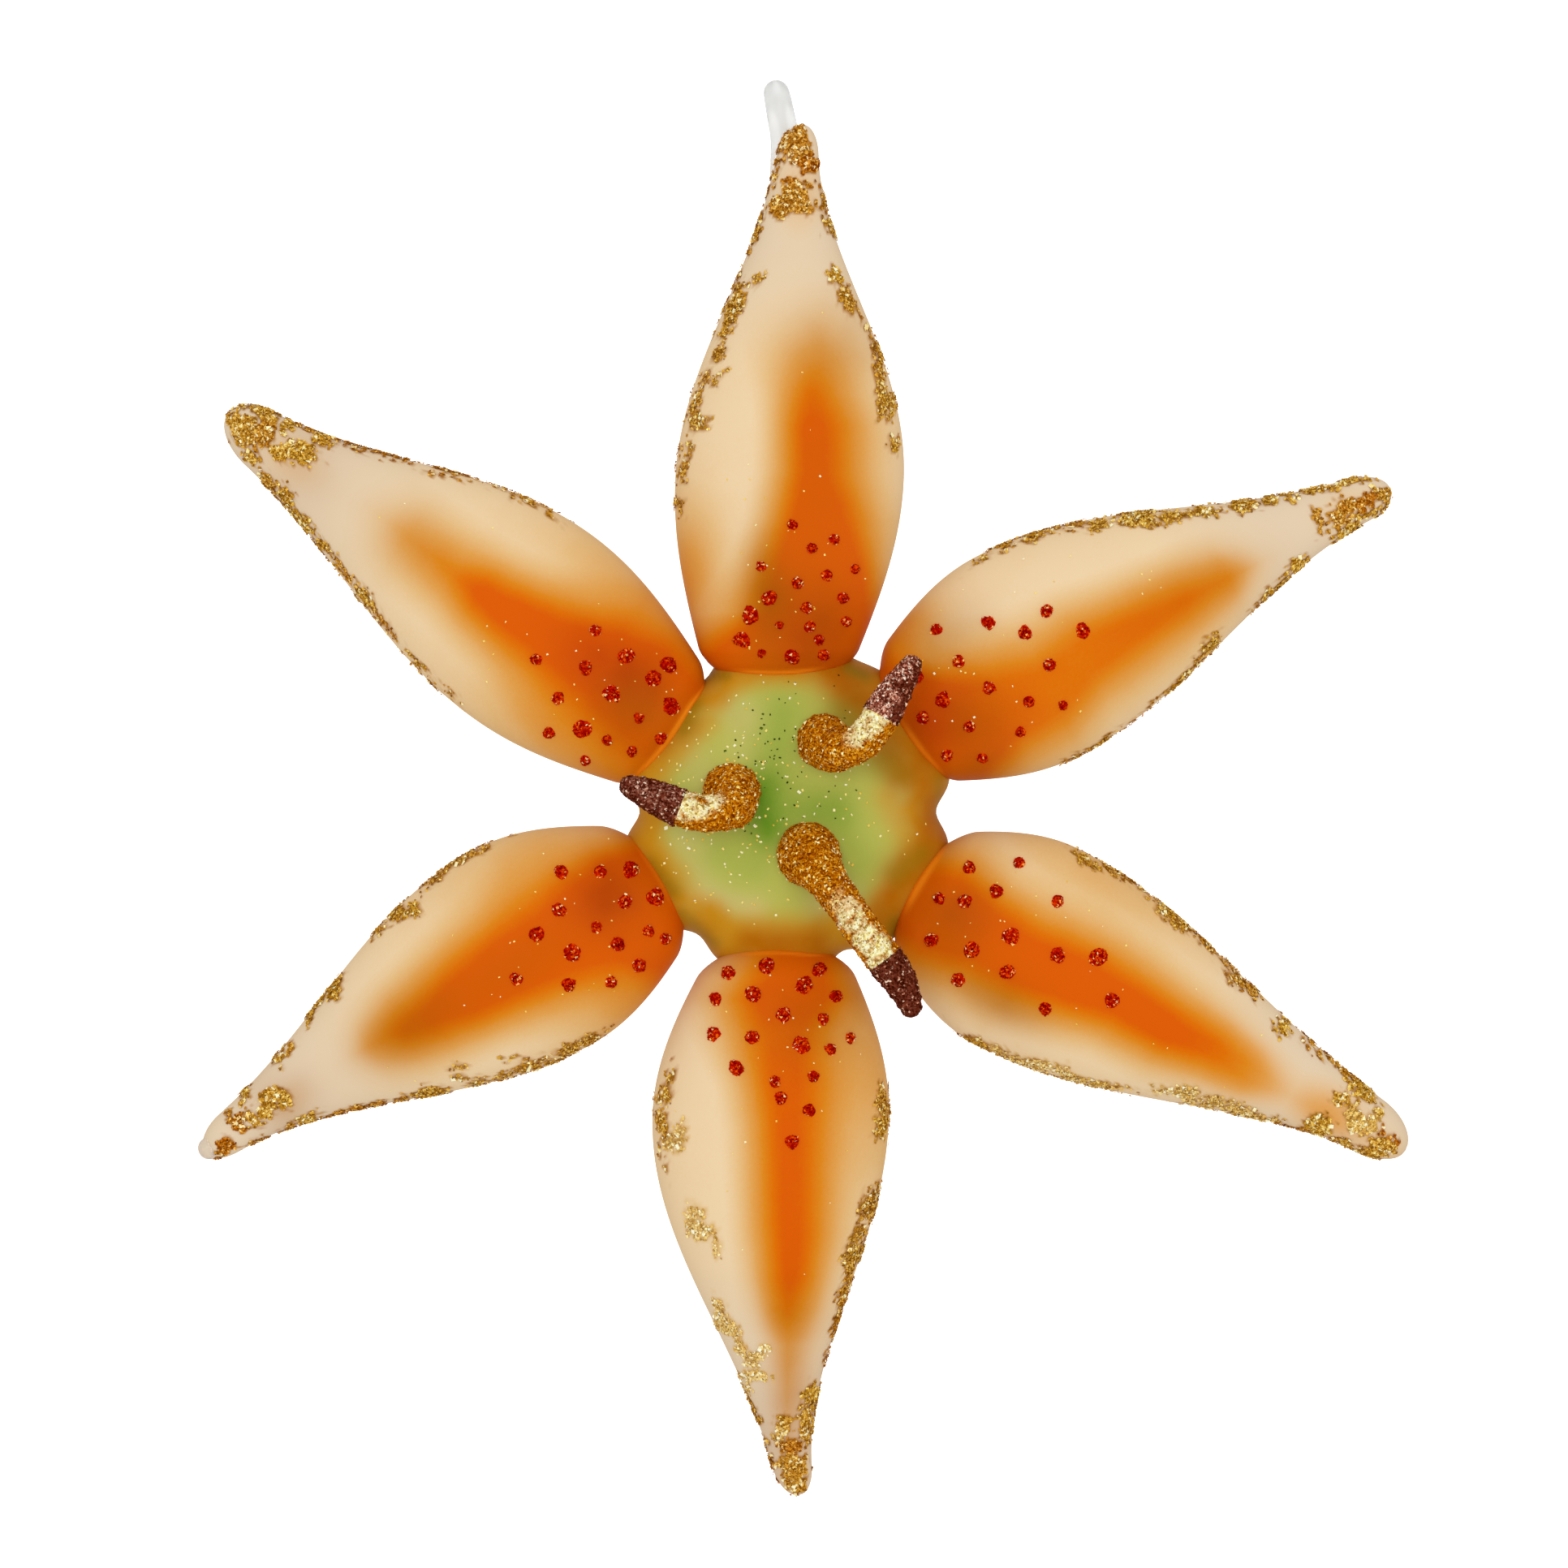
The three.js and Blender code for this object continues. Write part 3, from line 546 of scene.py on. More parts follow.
def petal_paint():
    finish = satin("petal_paint")
    grain = finish.noise(GRAIN_SIZE, detail=1.0) - 0.5
    cloud = finish.noise(CLOUD_SIZE) - 0.5
    stripe = SPRAY_STRENGTH * finish.attribute("stripe") + GRAIN_STRENGTH * grain + CLOUD_STRENGTH * cloud
    colour = finish.coats(finish.tones(SPRAY_TONES, stripe), PETAL_COATS, cloud)
    glue = finish.blend(GLUE_GOLD, GLUE_PALE, finish.attribute("pale_glue"))
    finish.feed(base_color=finish.blend(colour, glue, finish.attribute("glue")))
    etched(finish)
    return finish.material


def petal_masks(petal, along, turn, points):
    """Where each coat and painted glint lies on a petal: stripe, rust, shade and glint only on its front.
    """
    middle, _, half_width, _ = section(petal, along)
    across = middle + half_width * np.cos(turn)
    front = smooth(np.sin(turn) * FRONT_STEEPNESS + FRONT_SPILL)
    stops = np.array(petal["stripe"], float)
    left_out, left_full, right_full, right_out, strength = (
        np.interp(along, stops[:, 0], stops[:, column]) for column in range(1, 6)
    )
    from_left = (left_out + SPRAY_OUT - across) / (left_out - left_full + SPRAY_FEATHER)
    from_right = (across - right_out + SPRAY_OUT) / (right_full - right_out + SPRAY_FEATHER)
    inside = np.minimum(from_left, from_right).clip(0, 1)
    stripe = (0.6 * inside + 0.4 * smooth(inside)) * strength

    def bare_of(dabs):
        left = 1.0
        for dab_along, dab_across, length, width, dab_strength in dabs:
            away = ((along - dab_along) / length) ** 2 + ((across - dab_across) / width) ** 2
            left = left * (1 - dab_strength * np.exp(-away))
        return left

    bare = (1 - stripe) * bare_of(petal["dabs"])
    up = np.clip((along - petal["lap"]) / (petal["belly_at"] - petal["lap"]), 0, 2)
    rim = 1 - np.sin(turn).clip(0, 1) ** RIM_BREADTH
    web_sides = rim * (1 - smooth(up / WEB_SIDE_RUN))
    web_middle = WEB_MIDDLE_STRENGTH * (1 - smooth(up / WEB_MIDDLE_RUN))
    glint_left, glint_right, glint, breadth = petal["glint"]
    lift = hub_front(points[:, 0], points[:, 2])[:, 1] - points[:, 1]
    lit = smooth((glint_left + GLINT_FEATHER - across) / (2 * GLINT_FEATHER))
    lit *= smooth((across - glint_right + GLINT_FEATHER) / (2 * GLINT_FEATHER))
    lit *= smooth((GLINT_END - towards_rim(points)) / GLINT_END_FADE)
    return {
        "stripe": front * (1 - bare),
        "ivory": smooth((along - IVORY_FROM) / IVORY_RUN) * smooth(bare * 2 - 0.8) * IVORY_STRENGTH,
        # painted shade along the rim
        "rim": RIM_SHADE_STRENGTH * rim**RIM_FADE * smooth(up),
        "rust": front * stripe * (1 - bare_of([petal["rust"]])),
        "shade": front * (1 - bare_of(petal["shade"])),
        # amber spray and painted glow at the base's sides and middle
        "web": petal["web"] * np.maximum(web_sides, web_middle),
        # the painted glint along the crease, brightest at a set height over the hub's skin
        "crease": front * lit * glint * np.exp(-((lift / breadth - 1) ** 2)),
    }


petal_finish = petal_paint()
glass_petals = {}
for petal_name, petal in PETALS.items():
    ease = (1 - np.cos(np.pi * np.arange(1, PETAL_RINGS + 1) / (PETAL_RINGS + 1))) / 2
    ring_share = RING_CROWDING * ease + RING_EVENNESS * np.linspace(0.004, 0.996, PETAL_RINGS)
    ring_along = petal["lap"] + (petal["length"] - petal["lap"]) * ring_share
    along = np.append(np.repeat(ring_along, PETAL_SIDES), [petal["lap"], petal["length"]])
    turn = np.append(np.tile(2 * np.pi * np.arange(PETAL_SIDES) / PETAL_SIDES, PETAL_RINGS), [0, 0])
    points = petal_points(petal, along, turn)
    faces = skin_faces(PETAL_RINGS, PETAL_SIDES)
    masks = petal_masks(petal, along, turn, points)
    made = make_piece("glass_petal_" + petal_name, points, faces, petal_finish, masks)
    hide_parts("petal_" + petal_name)
    glass_petals[petal_name] = made, along, turn

# ---- The spots: beads of red glitter glue dabbed on each petal's base half, low and lumpy, with loose
# copper flakes stuck in them. Each spot is its place along and across the petal and its radius.

SPOT_HEIGHT, SPOT_ROOT = 0.28, 0.3
SPOT_RINGS, SPOT_SIDES = 6, 16
SPOT_INNER, SPOT_FOOT = 0.2, 0.92  # shares of the radius: the first ring and the ring under the skin
SPOT_LOBES = (2, 3, 5)
SPOT_UNEVENNESS, SPOT_LUMPS = 0.1, 0.05
SPOT_FLAKE = 0.19
FLAKE_LEAN = 0.5
SPOTS = {
    "top": [
        (23.5, 0.2, 0.45), (22.3, -3.4, 0.45), (21.5, -1.5, 0.45), (19.9, 2.8, 0.45), (19.8, -5.2, 0.4),
        (19.2, -2.8, 0.5), (18.5, -0.3, 0.5), (17.3, -4.2, 0.5), (17.2, 2.1, 0.65), (16.4, -1.1, 0.5),
        (15.7, 3.7, 0.75), (15.3, -4.5, 0.45), (14.9, 1.2, 0.35), (14.8, -1.4, 0.5), (13.6, 4.4, 0.7),
        (13.7, -2.2, 0.45), (12.5, 2.7, 0.35), (12.2, 0.1, 0.65), (12.4, -2.6, 0.5),
    ],
    "upper_right": [
        (28.8, 1.5, 0.65), (26.8, 4.4, 0.55), (24.9, 0.2, 0.55), (24.3, 3.6, 0.6), (24.4, -3.4, 0.4),
        (21.9, 5.8, 0.6), (21.9, -1.8, 0.5), (20.1, -3.8, 0.45), (19.4, 0.8, 0.55), (18.1, 4.0, 0.55),
        (17.7, 7.3, 0.5), (16.4, -1.4, 0.5), (16.2, -4.3, 0.45), (15.4, 1.7, 0.65), (14.4, 4.4, 0.5),
        (13.6, -2.7, 0.5), (13.2, 1.1, 0.55),
    ],
    "lower_right": [
        (32.4, -1.1, 0.65), (29.5, 1.5, 0.8), (27.8, -4.6, 0.55), (26.4, -0.1, 0.65), (24.1, 3.9, 0.55),
        (23.4, -3.5, 0.65), (22.1, -0.7, 0.75), (20.1, -6.2, 0.6), (19.8, -3.4, 0.7), (19.6, 5.1, 0.5),
        (19.1, 2.0, 0.6), (17.2, -0.1, 0.6), (16.4, -4.4, 0.6), (16.1, 2.6, 0.55), (15.2, -1.0, 0.5),
    ],
    "bottom": [
        (29.3, -0.3, 0.6), (26.6, 1.2, 0.55), (25.5, -1.2, 0.55), (24.1, -1.7, 0.5), (23.7, 1.6, 0.5),
        (22.9, -5.0, 0.65), (21.4, 3.1, 0.5), (21.0, 0.6, 0.75), (20.5, 4.8, 0.45), (20.3, -3.6, 0.6),
        (20.0, -6.9, 0.6), (18.8, 2.5, 0.5), (18.4, -0.9, 0.65), (16.9, 3.6, 0.55), (17.0, -6.7, 0.55),
        (16.6, -3.5, 0.7), (15.9, 0.9, 0.75), (14.8, -5.6, 0.6), (14.6, 2.2, 0.6), (14.2, -2.3, 0.7),
    ],
    "lower_left": [
        (28.1, 1.1, 0.55), (24.5, 3.8, 0.6), (24.6, -1.3, 0.65), (22.8, 1.6, 0.75), (21.9, -2.1, 0.6),
        (21.3, 5.5, 0.5), (20.1, -4.8, 0.6), (19.9, 0.8, 0.5), (19.1, 3.0, 0.6), (18.5, 5.5, 0.6),
        (17.2, -3.1, 0.55), (16.7, 0.2, 0.6), (16.3, 3.4, 0.5), (15.4, 4.7, 0.5), (14.9, -1.9, 0.7),
        (14.3, 1.2, 0.75),
    ],
    "upper_left": [
        (24.8, 2.4, 0.5), (22.0, -2.5, 0.5), (21.4, 4.1, 0.55), (20.9, 0.6, 0.6), (20.4, 7.0, 0.5),
        (18.6, -2.2, 0.7), (18.2, 5.1, 0.8), (17.8, 1.2, 0.75), (16.5, 7.2, 0.45), (15.9, 4.7, 0.45),
        (15.6, -1.9, 0.7), (15.2, -3.6, 0.7), (14.7, 1.6, 0.45), (13.6, 4.3, 0.45), (13.0, -0.8, 0.75),
        (12.2, 2.0, 0.5),
    ],
}

# Random tones of glitter, as a share of the flakes and a colour: most are dull, and the few brightest,
# near white, are painted sparkle: the highlights of flakes that catch the light.
COPPER_TONES = [
    (0.0, 136, 0, 0), (0.35, 176, 6, 0), (0.65, 202, 26, 0), (0.86, 236, 70, 2), (0.95, 252, 112, 14),
    (0.975, 255, 206, 110), (1.0, 255, 244, 184),
]

GOLD_SHEEN = (0.62, 0.32, 0.06, 1)
RED_SHEEN = (0.5, 0.06, 0.01, 1)
PLUM_SHEEN = (0.4, 0.14, 0.1, 1)
GLUE_CELL = 0.18
CELL_LEAN = 0.9


def on_front(petal, along, across, height=0.0):
    """Points over a petal's front skin, at a height along its normal, and the normals."""

    def skin(a, c):
        middle, _, half_width, _ = section(petal, a)
        return petal_points(petal, a, np.arccos(np.clip((c - middle) / half_width, -1, 1)))

    step = 0.05
    place = skin(along, across)
    up = unit(np.cross(skin(along + step, across) - place, skin(along, across + step) - place))
    return place + up * np.asarray(height)[..., None], up


def glitter(name, tones, over=(), cell=0.0, metallic=1.0, roughness=0.3, sheen=GOLD_SHEEN):
    """Glitter in random tones: one for each flake, or for each packed and leaning cell of that size.
    over has masks, and the tones that take over where each mask is 1."""
    constants = {"metallic": metallic, "roughness": roughness, "specular_tint": sheen}
    finish = Finish(name, specular_ior_level=0.0, **constants)
    if cell:
        sockets = {"Vector": finish.place(), "Scale": 1 / (cell * MM)}
        cells = finish.node("ShaderNodeTexVoronoi", {}, sockets, "Color")
        tone = finish.node("ShaderNodeSeparateColor", {}, {"Color": cells})
        shift = finish.vector("SUBTRACT", {0: cells, 1: (0.5, 0.5, 0.5)})
        shift = finish.vector("SCALE", {0: shift, "Scale": CELL_LEAN})
        normal = finish.node("ShaderNodeNewGeometry", {}, {}, "Normal")
        normal = finish.vector("ADD", {0: normal, 1: shift})
        finish.feed(normal=finish.vector("NORMALIZE", {0: normal}))
    else:
        tone = finish.attribute("tone")
    colour = finish.tones(tones, tone)
    for mask, other in over:
        colour = finish.blend(colour, finish.tones(other, tone), finish.attribute(mask))
    finish.feed(base_color=colour)
    return finish.material


def scatter(points, quads, spacing, rng):
    """Random places over four-sided faces, about spacing apart, with their normals and faces."""
    a, b, c, d = (points[quads[:, corner]] for corner in range(4))
    cross = np.cross(c - a, d - b)
    area = np.linalg.norm(cross, axis=1) / 2
    count = int(area.sum() / spacing**2)
    chosen = rng.choice(len(quads), count, p=area / area.sum())
    u, v = rng.random((2, count, 1))
    low = a[chosen] * (1 - u) + b[chosen] * u
    high = d[chosen] * (1 - u) + c[chosen] * u
    return low * (1 - v) + high * v, unit(cross[chosen]), chosen


FLAKE_THICKNESS = 0.05
SPARKLE_FROM, SPARKLE_EXTRA = 0.96, 0.6  # the flakes of the brightest tones are that much wider
FLAKE_CORNERS = np.array([(-1, -1, 1), (1, -1, -1), (1, 1, 1), (-1, 1, -1)])
FLAKE_FACES = np.array([(0, 1, 2), (0, 2, 3), (0, 3, 1), (1, 3, 2)])


def make_flakes(name, places, ups, size, lean, material, rng, masks=()):
    """Loose flakes of cut foil, each a thin creased plate that leans its own way where it stuck."""
    count = len(places)
    ups = unit(ups + rng.normal(0, lean, (count, 3)))
    across = unit(np.cross(ups, rng.normal(size=(count, 3))))
    axes = np.stack([across, np.cross(ups, across), ups], axis=1)
    tone = rng.random(count)
    width = size * rng.uniform(0.65, 1.15, count) * (1 + SPARKLE_EXTRA * (tone > SPARKLE_FROM))
    breadth = width * rng.uniform(0.5, 0.9, count)
    halves = np.stack([width, breadth, np.full(count, FLAKE_THICKNESS)], axis=1) / 2
    corners = places[:, None] + np.einsum("ck,nk,nkx->ncx", FLAKE_CORNERS, halves, axes)
    faces = np.arange(count)[:, None, None] * 4 + FLAKE_FACES
    masks = {mask: np.repeat(values, 4) for mask, values in {"tone": tone, **dict(masks)}.items()}
    return make_piece(
        name, corners.reshape(-1, 3), faces.reshape(-1, 3).tolist(), material, masks, smooth=False
    )


def spot_bodies(petal, places, rng):
    """All of a petal's beads as one mesh: points, faces and the quads that face out."""
    count = len(places)
    centre = np.array(places)
    radius = centre[:, 2, None, None]
    sides = 2 * np.pi * np.arange(SPOT_SIDES) / SPOT_SIDES
    lobes = np.zeros((count, 1, SPOT_SIDES))
    for waves in SPOT_LOBES:
        bulge = rng.uniform(0, SPOT_UNEVENNESS, (count, 1, 1))
        lobes += bulge * np.sin(waves * sides + rng.uniform(0, 6.3, (count, 1, 1)))
    rings = np.linspace(SPOT_INNER, 1, SPOT_RINGS)
    out = np.append(rings, SPOT_FOOT)[:, None]
    height = np.append(SPOT_HEIGHT * (1 - rings**3), -SPOT_ROOT)[:, None]
    reach = radius * (1 + lobes) * out
    along = centre[:, 0, None, None] + reach * np.cos(sides)
    across = centre[:, 1, None, None] - reach * np.sin(sides)
    lumps = SPOT_LUMPS * rng.normal(size=along.shape) * (height > 0)
    points, _ = on_front(petal, along, across, np.broadcast_to(height, along.shape) + lumps)
    tops, _ = on_front(petal, centre[:, 0], centre[:, 1], np.full(count, SPOT_HEIGHT))
    roots, _ = on_front(petal, centre[:, 0], centre[:, 1], np.full(count, -SPOT_ROOT))
    per_spot = (SPOT_RINGS + 1) * SPOT_SIDES + 2
    points = np.concatenate([points.reshape(count, -1, 3), tops[:, None], roots[:, None]], axis=1)
    pattern = skin_faces(SPOT_RINGS + 1, SPOT_SIDES)
    faces = [[corner + spot * per_spot for corner in face] for spot in range(count) for face in pattern]
    shown = np.array([face for face in faces if len(face) == 4])
    return points.reshape(-1, 3), faces, shown


copper_glue = glitter("copper_glitter_glue", COPPER_TONES, cell=GLUE_CELL, metallic=0.1, sheen=RED_SHEEN)
copper_flakes = glitter("copper_flakes", COPPER_TONES, metallic=0.15, sheen=RED_SHEEN)
spot_rng = np.random.default_rng(4)
for petal_name, places in SPOTS.items():
    points, faces, shown = spot_bodies(PETALS[petal_name], places, spot_rng)
    make_piece("spots_" + petal_name, points, faces, copper_glue, smooth=False)
    stuck, ups, _ = scatter(points, shown, SPOT_FLAKE, spot_rng)
    name = "spot_flakes_" + petal_name
    make_flakes(name, stuck, ups, SPOT_FLAKE, FLAKE_LEAN, copper_flakes, spot_rng)

# ---- The gold crust: glitter glue dabbed ragged and thin along the petals' rims and over their tips.
# The glue shows as a haze of dull gold on the glass, and the flakes of gold in it lie three deep, fewer
# and fewer past its border.

CRUST_START = 21.5
CRUST_END = 0.02  # how far short of the tip the grid of its cells stops
CRUST_ROW_STEP, CRUST_COLUMNS = 0.15, 190
CRUST_LIFT, CRUST_DEPTH = 0.03, 0.1
CRUST_FLAKE, CRUST_SPACING, CRUST_LEAN = 0.25, 0.108, 0.35
CRUST_EDGE, CRUST_FADE = 0.04, 0.3
BACK_LESS = 0.25  # how much further in the border lies on a petal's back
COARSE_RAG, COARSE_SIZE, FINE_RAG, FINE_SIZE = 0.13, 2.0, 0.17, 0.6
OUT_OF_REACH = -9.0
GLUE_STRENGTH, GLUE_EDGE, GLUE_FADE = 0.94, 0.2, 0.4

# Each dab: its middle along and across the petal, half length, half width, and its tone, where -1 is
# pale, 0 is gold and 1 is copper.
CRUST = {
    "top": [
        (56.5, 0.2, 1.9, 1.3, 0.6), (54.8, -0.5, 1.0, 0.9, 1), (53.3, 0.8, 0.4, 0.6, 0.8),
        (52.9, -0.1, 0.2, 0.9, 0.6), (51.2, 0.4, 1.1, 2.1, 0.5), (53.2, 2.1, 1.2, 0.3, 0.5),
        (52.0, -2.5, 0.9, 0.45, 0.3), (50.6, -2.9, 0.9, 0.35, 0.3), (49.3, -2.8, 0.8, 0.6, 0.1),
        (48.5, 3.9, 1.1, 0.4, 0.4), (50.1, 3.4, 0.6, 0.3, 0.3), (42.6, 5.4, 1.9, 0.8, 0.2),
        (44.7, 5.6, 1.2, 0.4, 0.4), (40.4, 6.1, 0.9, 0.6, 0.2), (38.2, 6.7, 0.7, 0.4, 0.2),
        (36.7, 6.1, 0.3, 0.25, 0), (35.8, 6.9, 0.3, 0.2, 0), (44.9, 3.3, 0.25, 0.2, 0),
        (34.4, 8.4, 1.9, 0.4, 0.3), (32.3, 8.4, 0.7, 0.8, 0), (28.6, 9.7, 1.4, 0.35, 0.2),
        (30.4, 9.2, 0.3, 0.25, 0), (25.3, 9.9, 0.5, 0.3, 0.2), (43.0, -4.2, 1.2, 0.8, 0.3),
        (45.0, -3.2, 0.8, 0.6, 0), (39.2, -6.7, 1.0, 0.3, 0.3), (36.5, -7.2, 1.2, 0.35, 0.3),
        (34.5, -7.6, 1.6, 0.8, 0.1), (30.5, -8.3, 0.8, 0.4, 0),
    ],
    "upper_right": [
        (57.4, 0.1, 0.9, 0.8, 0.3), (56.1, 0.3, 1.5, 0.7, 0.9), (56.0, -0.8, 2.2, 0.3, 0.1),
        (54.0, 0.8, 1.0, 0.8, 0.6), (53.1, 0.2, 1.0, 1.2, 0.5), (51.5, 0.6, 0.4, 1.0, 0.4),
        (53.4, -1.1, 1.4, 0.6, 0), (55.3, 2.5, 1.2, 0.3, 0), (53.3, 3.2, 1.3, 0.3, 0.2),
        (51.8, 3.4, 0.8, 0.35, 0), (50.1, 3.5, 0.5, 0.4, 0), (48.4, 4.3, 1.1, 0.45, 0),
        (46.7, 4.8, 1.3, 0.6, 0.2), (45.7, 4.9, 0.5, 0.7, 0), (43.3, 5.7, 1.0, 0.5, 0),
        (39.9, 6.8, 1.7, 0.6, 0), (37.5, 7.9, 1.9, 0.8, 0), (34.4, 8.9, 1.0, 0.5, 0),
        (32.6, 9.8, 1.2, 0.3, 0.4), (28.8, 10.8, 1.8, 0.35, 0.2), (26.3, 11.2, 1.2, 0.25, 0.3),
        (24.3, 10.8, 0.7, 0.2, 0), (48.1, -1.9, 1.0, 0.6, 0), (46.5, -2.6, 1.0, 0.5, 0),
        (44.9, -3.0, 1.4, 0.35, 0.1), (38.2, -4.5, 1.0, 0.5, 0), (36.7, -5.2, 0.8, 0.25, 0.3),
        (34.3, -6.2, 1.4, 0.35, 0.2), (29.6, -7.5, 1.2, 0.2, 0.3), (26.0, -7.8, 1.0, 0.3, 0.1),
        (23.0, -8.0, 0.9, 0.2, 0.3),
    ],
    "lower_right": [
        (59.2, -0.3, 1.3, 1.1, 0.2), (59.0, 0.6, 1.1, 0.4, 1), (58.5, -1.5, 1.3, 0.5, 0.2),
        (56.4, -1.7, 0.8, 0.4, 0.2), (57.2, 0.9, 0.7, 1.2, -0.4), (55.8, 0.6, 1.0, 1.0, -0.4),
        (54.0, 1.5, 0.8, 0.7, 0.1), (55.2, 2.9, 1.4, 0.6, 0), (57.5, 2.2, 0.4, 0.4, 0),
        (53.2, 3.6, 1.4, 0.25, 0.4), (53.6, -1.4, 1.1, 0.9, 0), (55.1, -2.0, 0.7, 0.3, 0.5),
        (51.6, -2.7, 1.6, 0.2, 0.6), (50.2, 4.0, 1.0, 0.25, 0.5), (46.5, 4.3, 0.7, 0.6, 0),
        (47.6, -3.7, 2.4, 0.5, -0.6), (44.4, -4.2, 1.8, 0.6, -0.6), (42.2, -4.8, 1.4, 0.7, -0.8),
        (40.2, -5.5, 0.8, 0.5, -0.8), (41.1, 5.9, 1.6, 0.5, 0.4), (37.7, 7.0, 1.2, 0.25, 0.4),
        (34.2, 7.6, 1.3, 0.5, 0.2), (32.6, 7.9, 1.3, 0.5, 0), (28.4, 8.6, 1.6, 0.25, 0.3),
        (24.7, 8.2, 1.1, 0.4, 0.1), (35.0, -7.9, 1.6, 0.3, -0.4), (32.5, -8.5, 2.0, 0.45, -0.8),
        (29.6, -9.2, 2.0, 0.5, -0.8), (26.8, -9.8, 1.6, 0.4, -0.6), (24.5, -10.1, 1.3, 0.3, 0.1),
    ],
    "bottom": [
        (58.2, -0.5, 2.2, 1.2, 0.4), (55.8, -0.7, 0.9, 1.0, 0.8), (54.5, -1.6, 0.8, 0.6, -0.5),
        (53.8, -1.3, 0.7, 0.6, 0.2), (54.7, 0.5, 1.0, 0.6, 0.3), (53.0, 0.7, 1.4, 0.7, 0.2),
        (51.4, 0.9, 1.0, 0.7, 0), (57.3, -2.5, 1.4, 0.2, 0.6), (55.2, -3.0, 0.5, 0.25, 0.2),
        (53.5, -3.5, 0.8, 0.2, 0.2), (50.4, -4.3, 0.8, 0.35, -1), (49.6, -3.6, 0.5, 0.9, -1),
        (48.2, -3.7, 0.6, 0.6, -1), (47.3, -2.8, 0.3, 0.35, -1), (47.4, -4.9, 1.0, 0.3, -1),
        (45.2, -6.1, 0.9, 0.9, -1), (43.6, -6.6, 0.9, 0.5, -1), (44.3, 3.6, 2.4, 0.25, 0.6),
        (41.8, 4.2, 1.3, 0.4, 0.4), (39.3, 4.8, 1.3, 0.7, 0.1), (37.3, 5.6, 1.0, 0.4, 0.3),
        (34.8, 6.4, 1.7, 0.8, 0.3), (38.2, -6.9, 0.6, 0.25, -1), (36.7, -8.5, 1.0, 1.1, -1),
        (35.2, -8.6, 0.8, 0.8, -1), (28.2, 7.3, 1.1, 0.6, 0), (26.5, 7.6, 1.7, 0.5, 0.2),
        (29.4, -9.8, 0.9, 0.5, -0.8), (28.0, -9.7, 0.8, 0.3, -0.8), (29.5, -10.8, 0.6, 0.4, -0.8),
        (27.0, -11.4, 2.4, 0.4, 0.2), (25.5, -11.2, 1.0, 0.6, 0.1), (23.7, -10.6, 0.4, 0.35, 0),
    ],
    "lower_left": [
        (57.2, 0.5, 0.7, 0.7, 1), (58.5, 1.0, 0.7, 0.2, 0.6), (55.4, -0.5, 0.5, 0.6, 0.9),
        (55.8, -1.3, 0.3, 0.6, 0.6), (54.0, -0.4, 0.3, 1.0, 0.2), (53.5, -2.6, 0.6, 0.5, 0),
        (52.5, -0.1, 0.7, 0.6, 0.1), (51.8, -1.1, 0.8, 0.6, 0.2), (50.7, 0.2, 0.5, 0.6, 0),
        (54.5, 1.6, 1.0, 0.2, 0.5), (51.9, 2.0, 1.2, 0.2, 0.4), (49.8, 2.3, 1.1, 0.45, 0),
        (49.6, -3.4, 0.5, 0.6, 0), (48.3, -3.8, 0.8, 0.4, 0.3), (44.4, -5.5, 1.2, 0.45, 0.1),
        (42.2, -6.0, 1.1, 0.8, 0.1), (46.0, 3.6, 2.2, 0.2, 0.6), (39.5, 5.7, 1.3, 0.6, 0.1),
        (41.4, 5.5, 1.2, 0.25, 0.3), (36.6, 6.1, 0.5, 0.35, 0), (36.3, 5.1, 0.5, 0.3, 0),
        (35.5, 7.0, 0.5, 0.4, 0), (33.2, 7.7, 0.7, 0.35, 0.1), (32.2, 6.7, 0.4, 0.2, 0),
        (30.2, 8.3, 1.9, 0.4, 0.2), (27.3, 8.7, 1.9, 0.45, 0.1), (25.4, 8.9, 0.9, 0.25, 0.3),
        (35.7, -8.7, 1.0, 0.45, 0.3), (34.2, -9.1, 1.2, 0.7, 0.1), (32.6, -8.6, 0.4, 0.6, 0),
        (29.8, -9.9, 1.3, 0.3, 0.3), (27.2, -10.3, 1.9, 0.3, 0.3), (25.2, -10.1, 0.8, 0.2, 0.3),
    ],
    "upper_left": [
        (57.3, 0.3, 1.7, 1.4, 0.2), (57.6, 0.3, 0.8, 0.6, 1), (55.4, -0.4, 1.0, 1.5, 0.5),
        (56.5, -1.8, 1.9, 0.6, 0.1), (54.3, -2.1, 1.0, 0.7, 0), (53.3, 0.1, 0.8, 0.8, 0.1),
        (51.6, -0.8, 1.6, 0.9, 0), (55.0, 2.0, 0.6, 0.3, 0.1), (52.6, 2.7, 1.2, 0.45, 0.3),
        (50.9, 3.0, 0.9, 0.7, 0.2), (48.3, 3.9, 1.2, 0.5, 0), (45.4, 4.8, 1.3, 0.3, 0.1),
        (42.3, 5.6, 1.8, 0.2, 0.5), (40.0, 6.3, 1.1, 0.4, 0.1), (38.2, 7.0, 1.2, 0.2, 0.5),
        (33.3, 8.4, 0.9, 0.2, 0.1), (31.3, 8.9, 1.2, 0.2, 0.2), (53.4, -2.8, 1.4, 0.25, 0.5),
        (50.7, -3.1, 0.9, 0.6, 0.1), (48.8, -3.8, 2.0, 0.25, 0.6), (46.2, -4.7, 1.4, 0.25, 0.6),
        (40.6, -6.5, 1.6, 0.25, 0.6), (33.6, -8.4, 1.6, 0.2, 0.3),
    ],
}

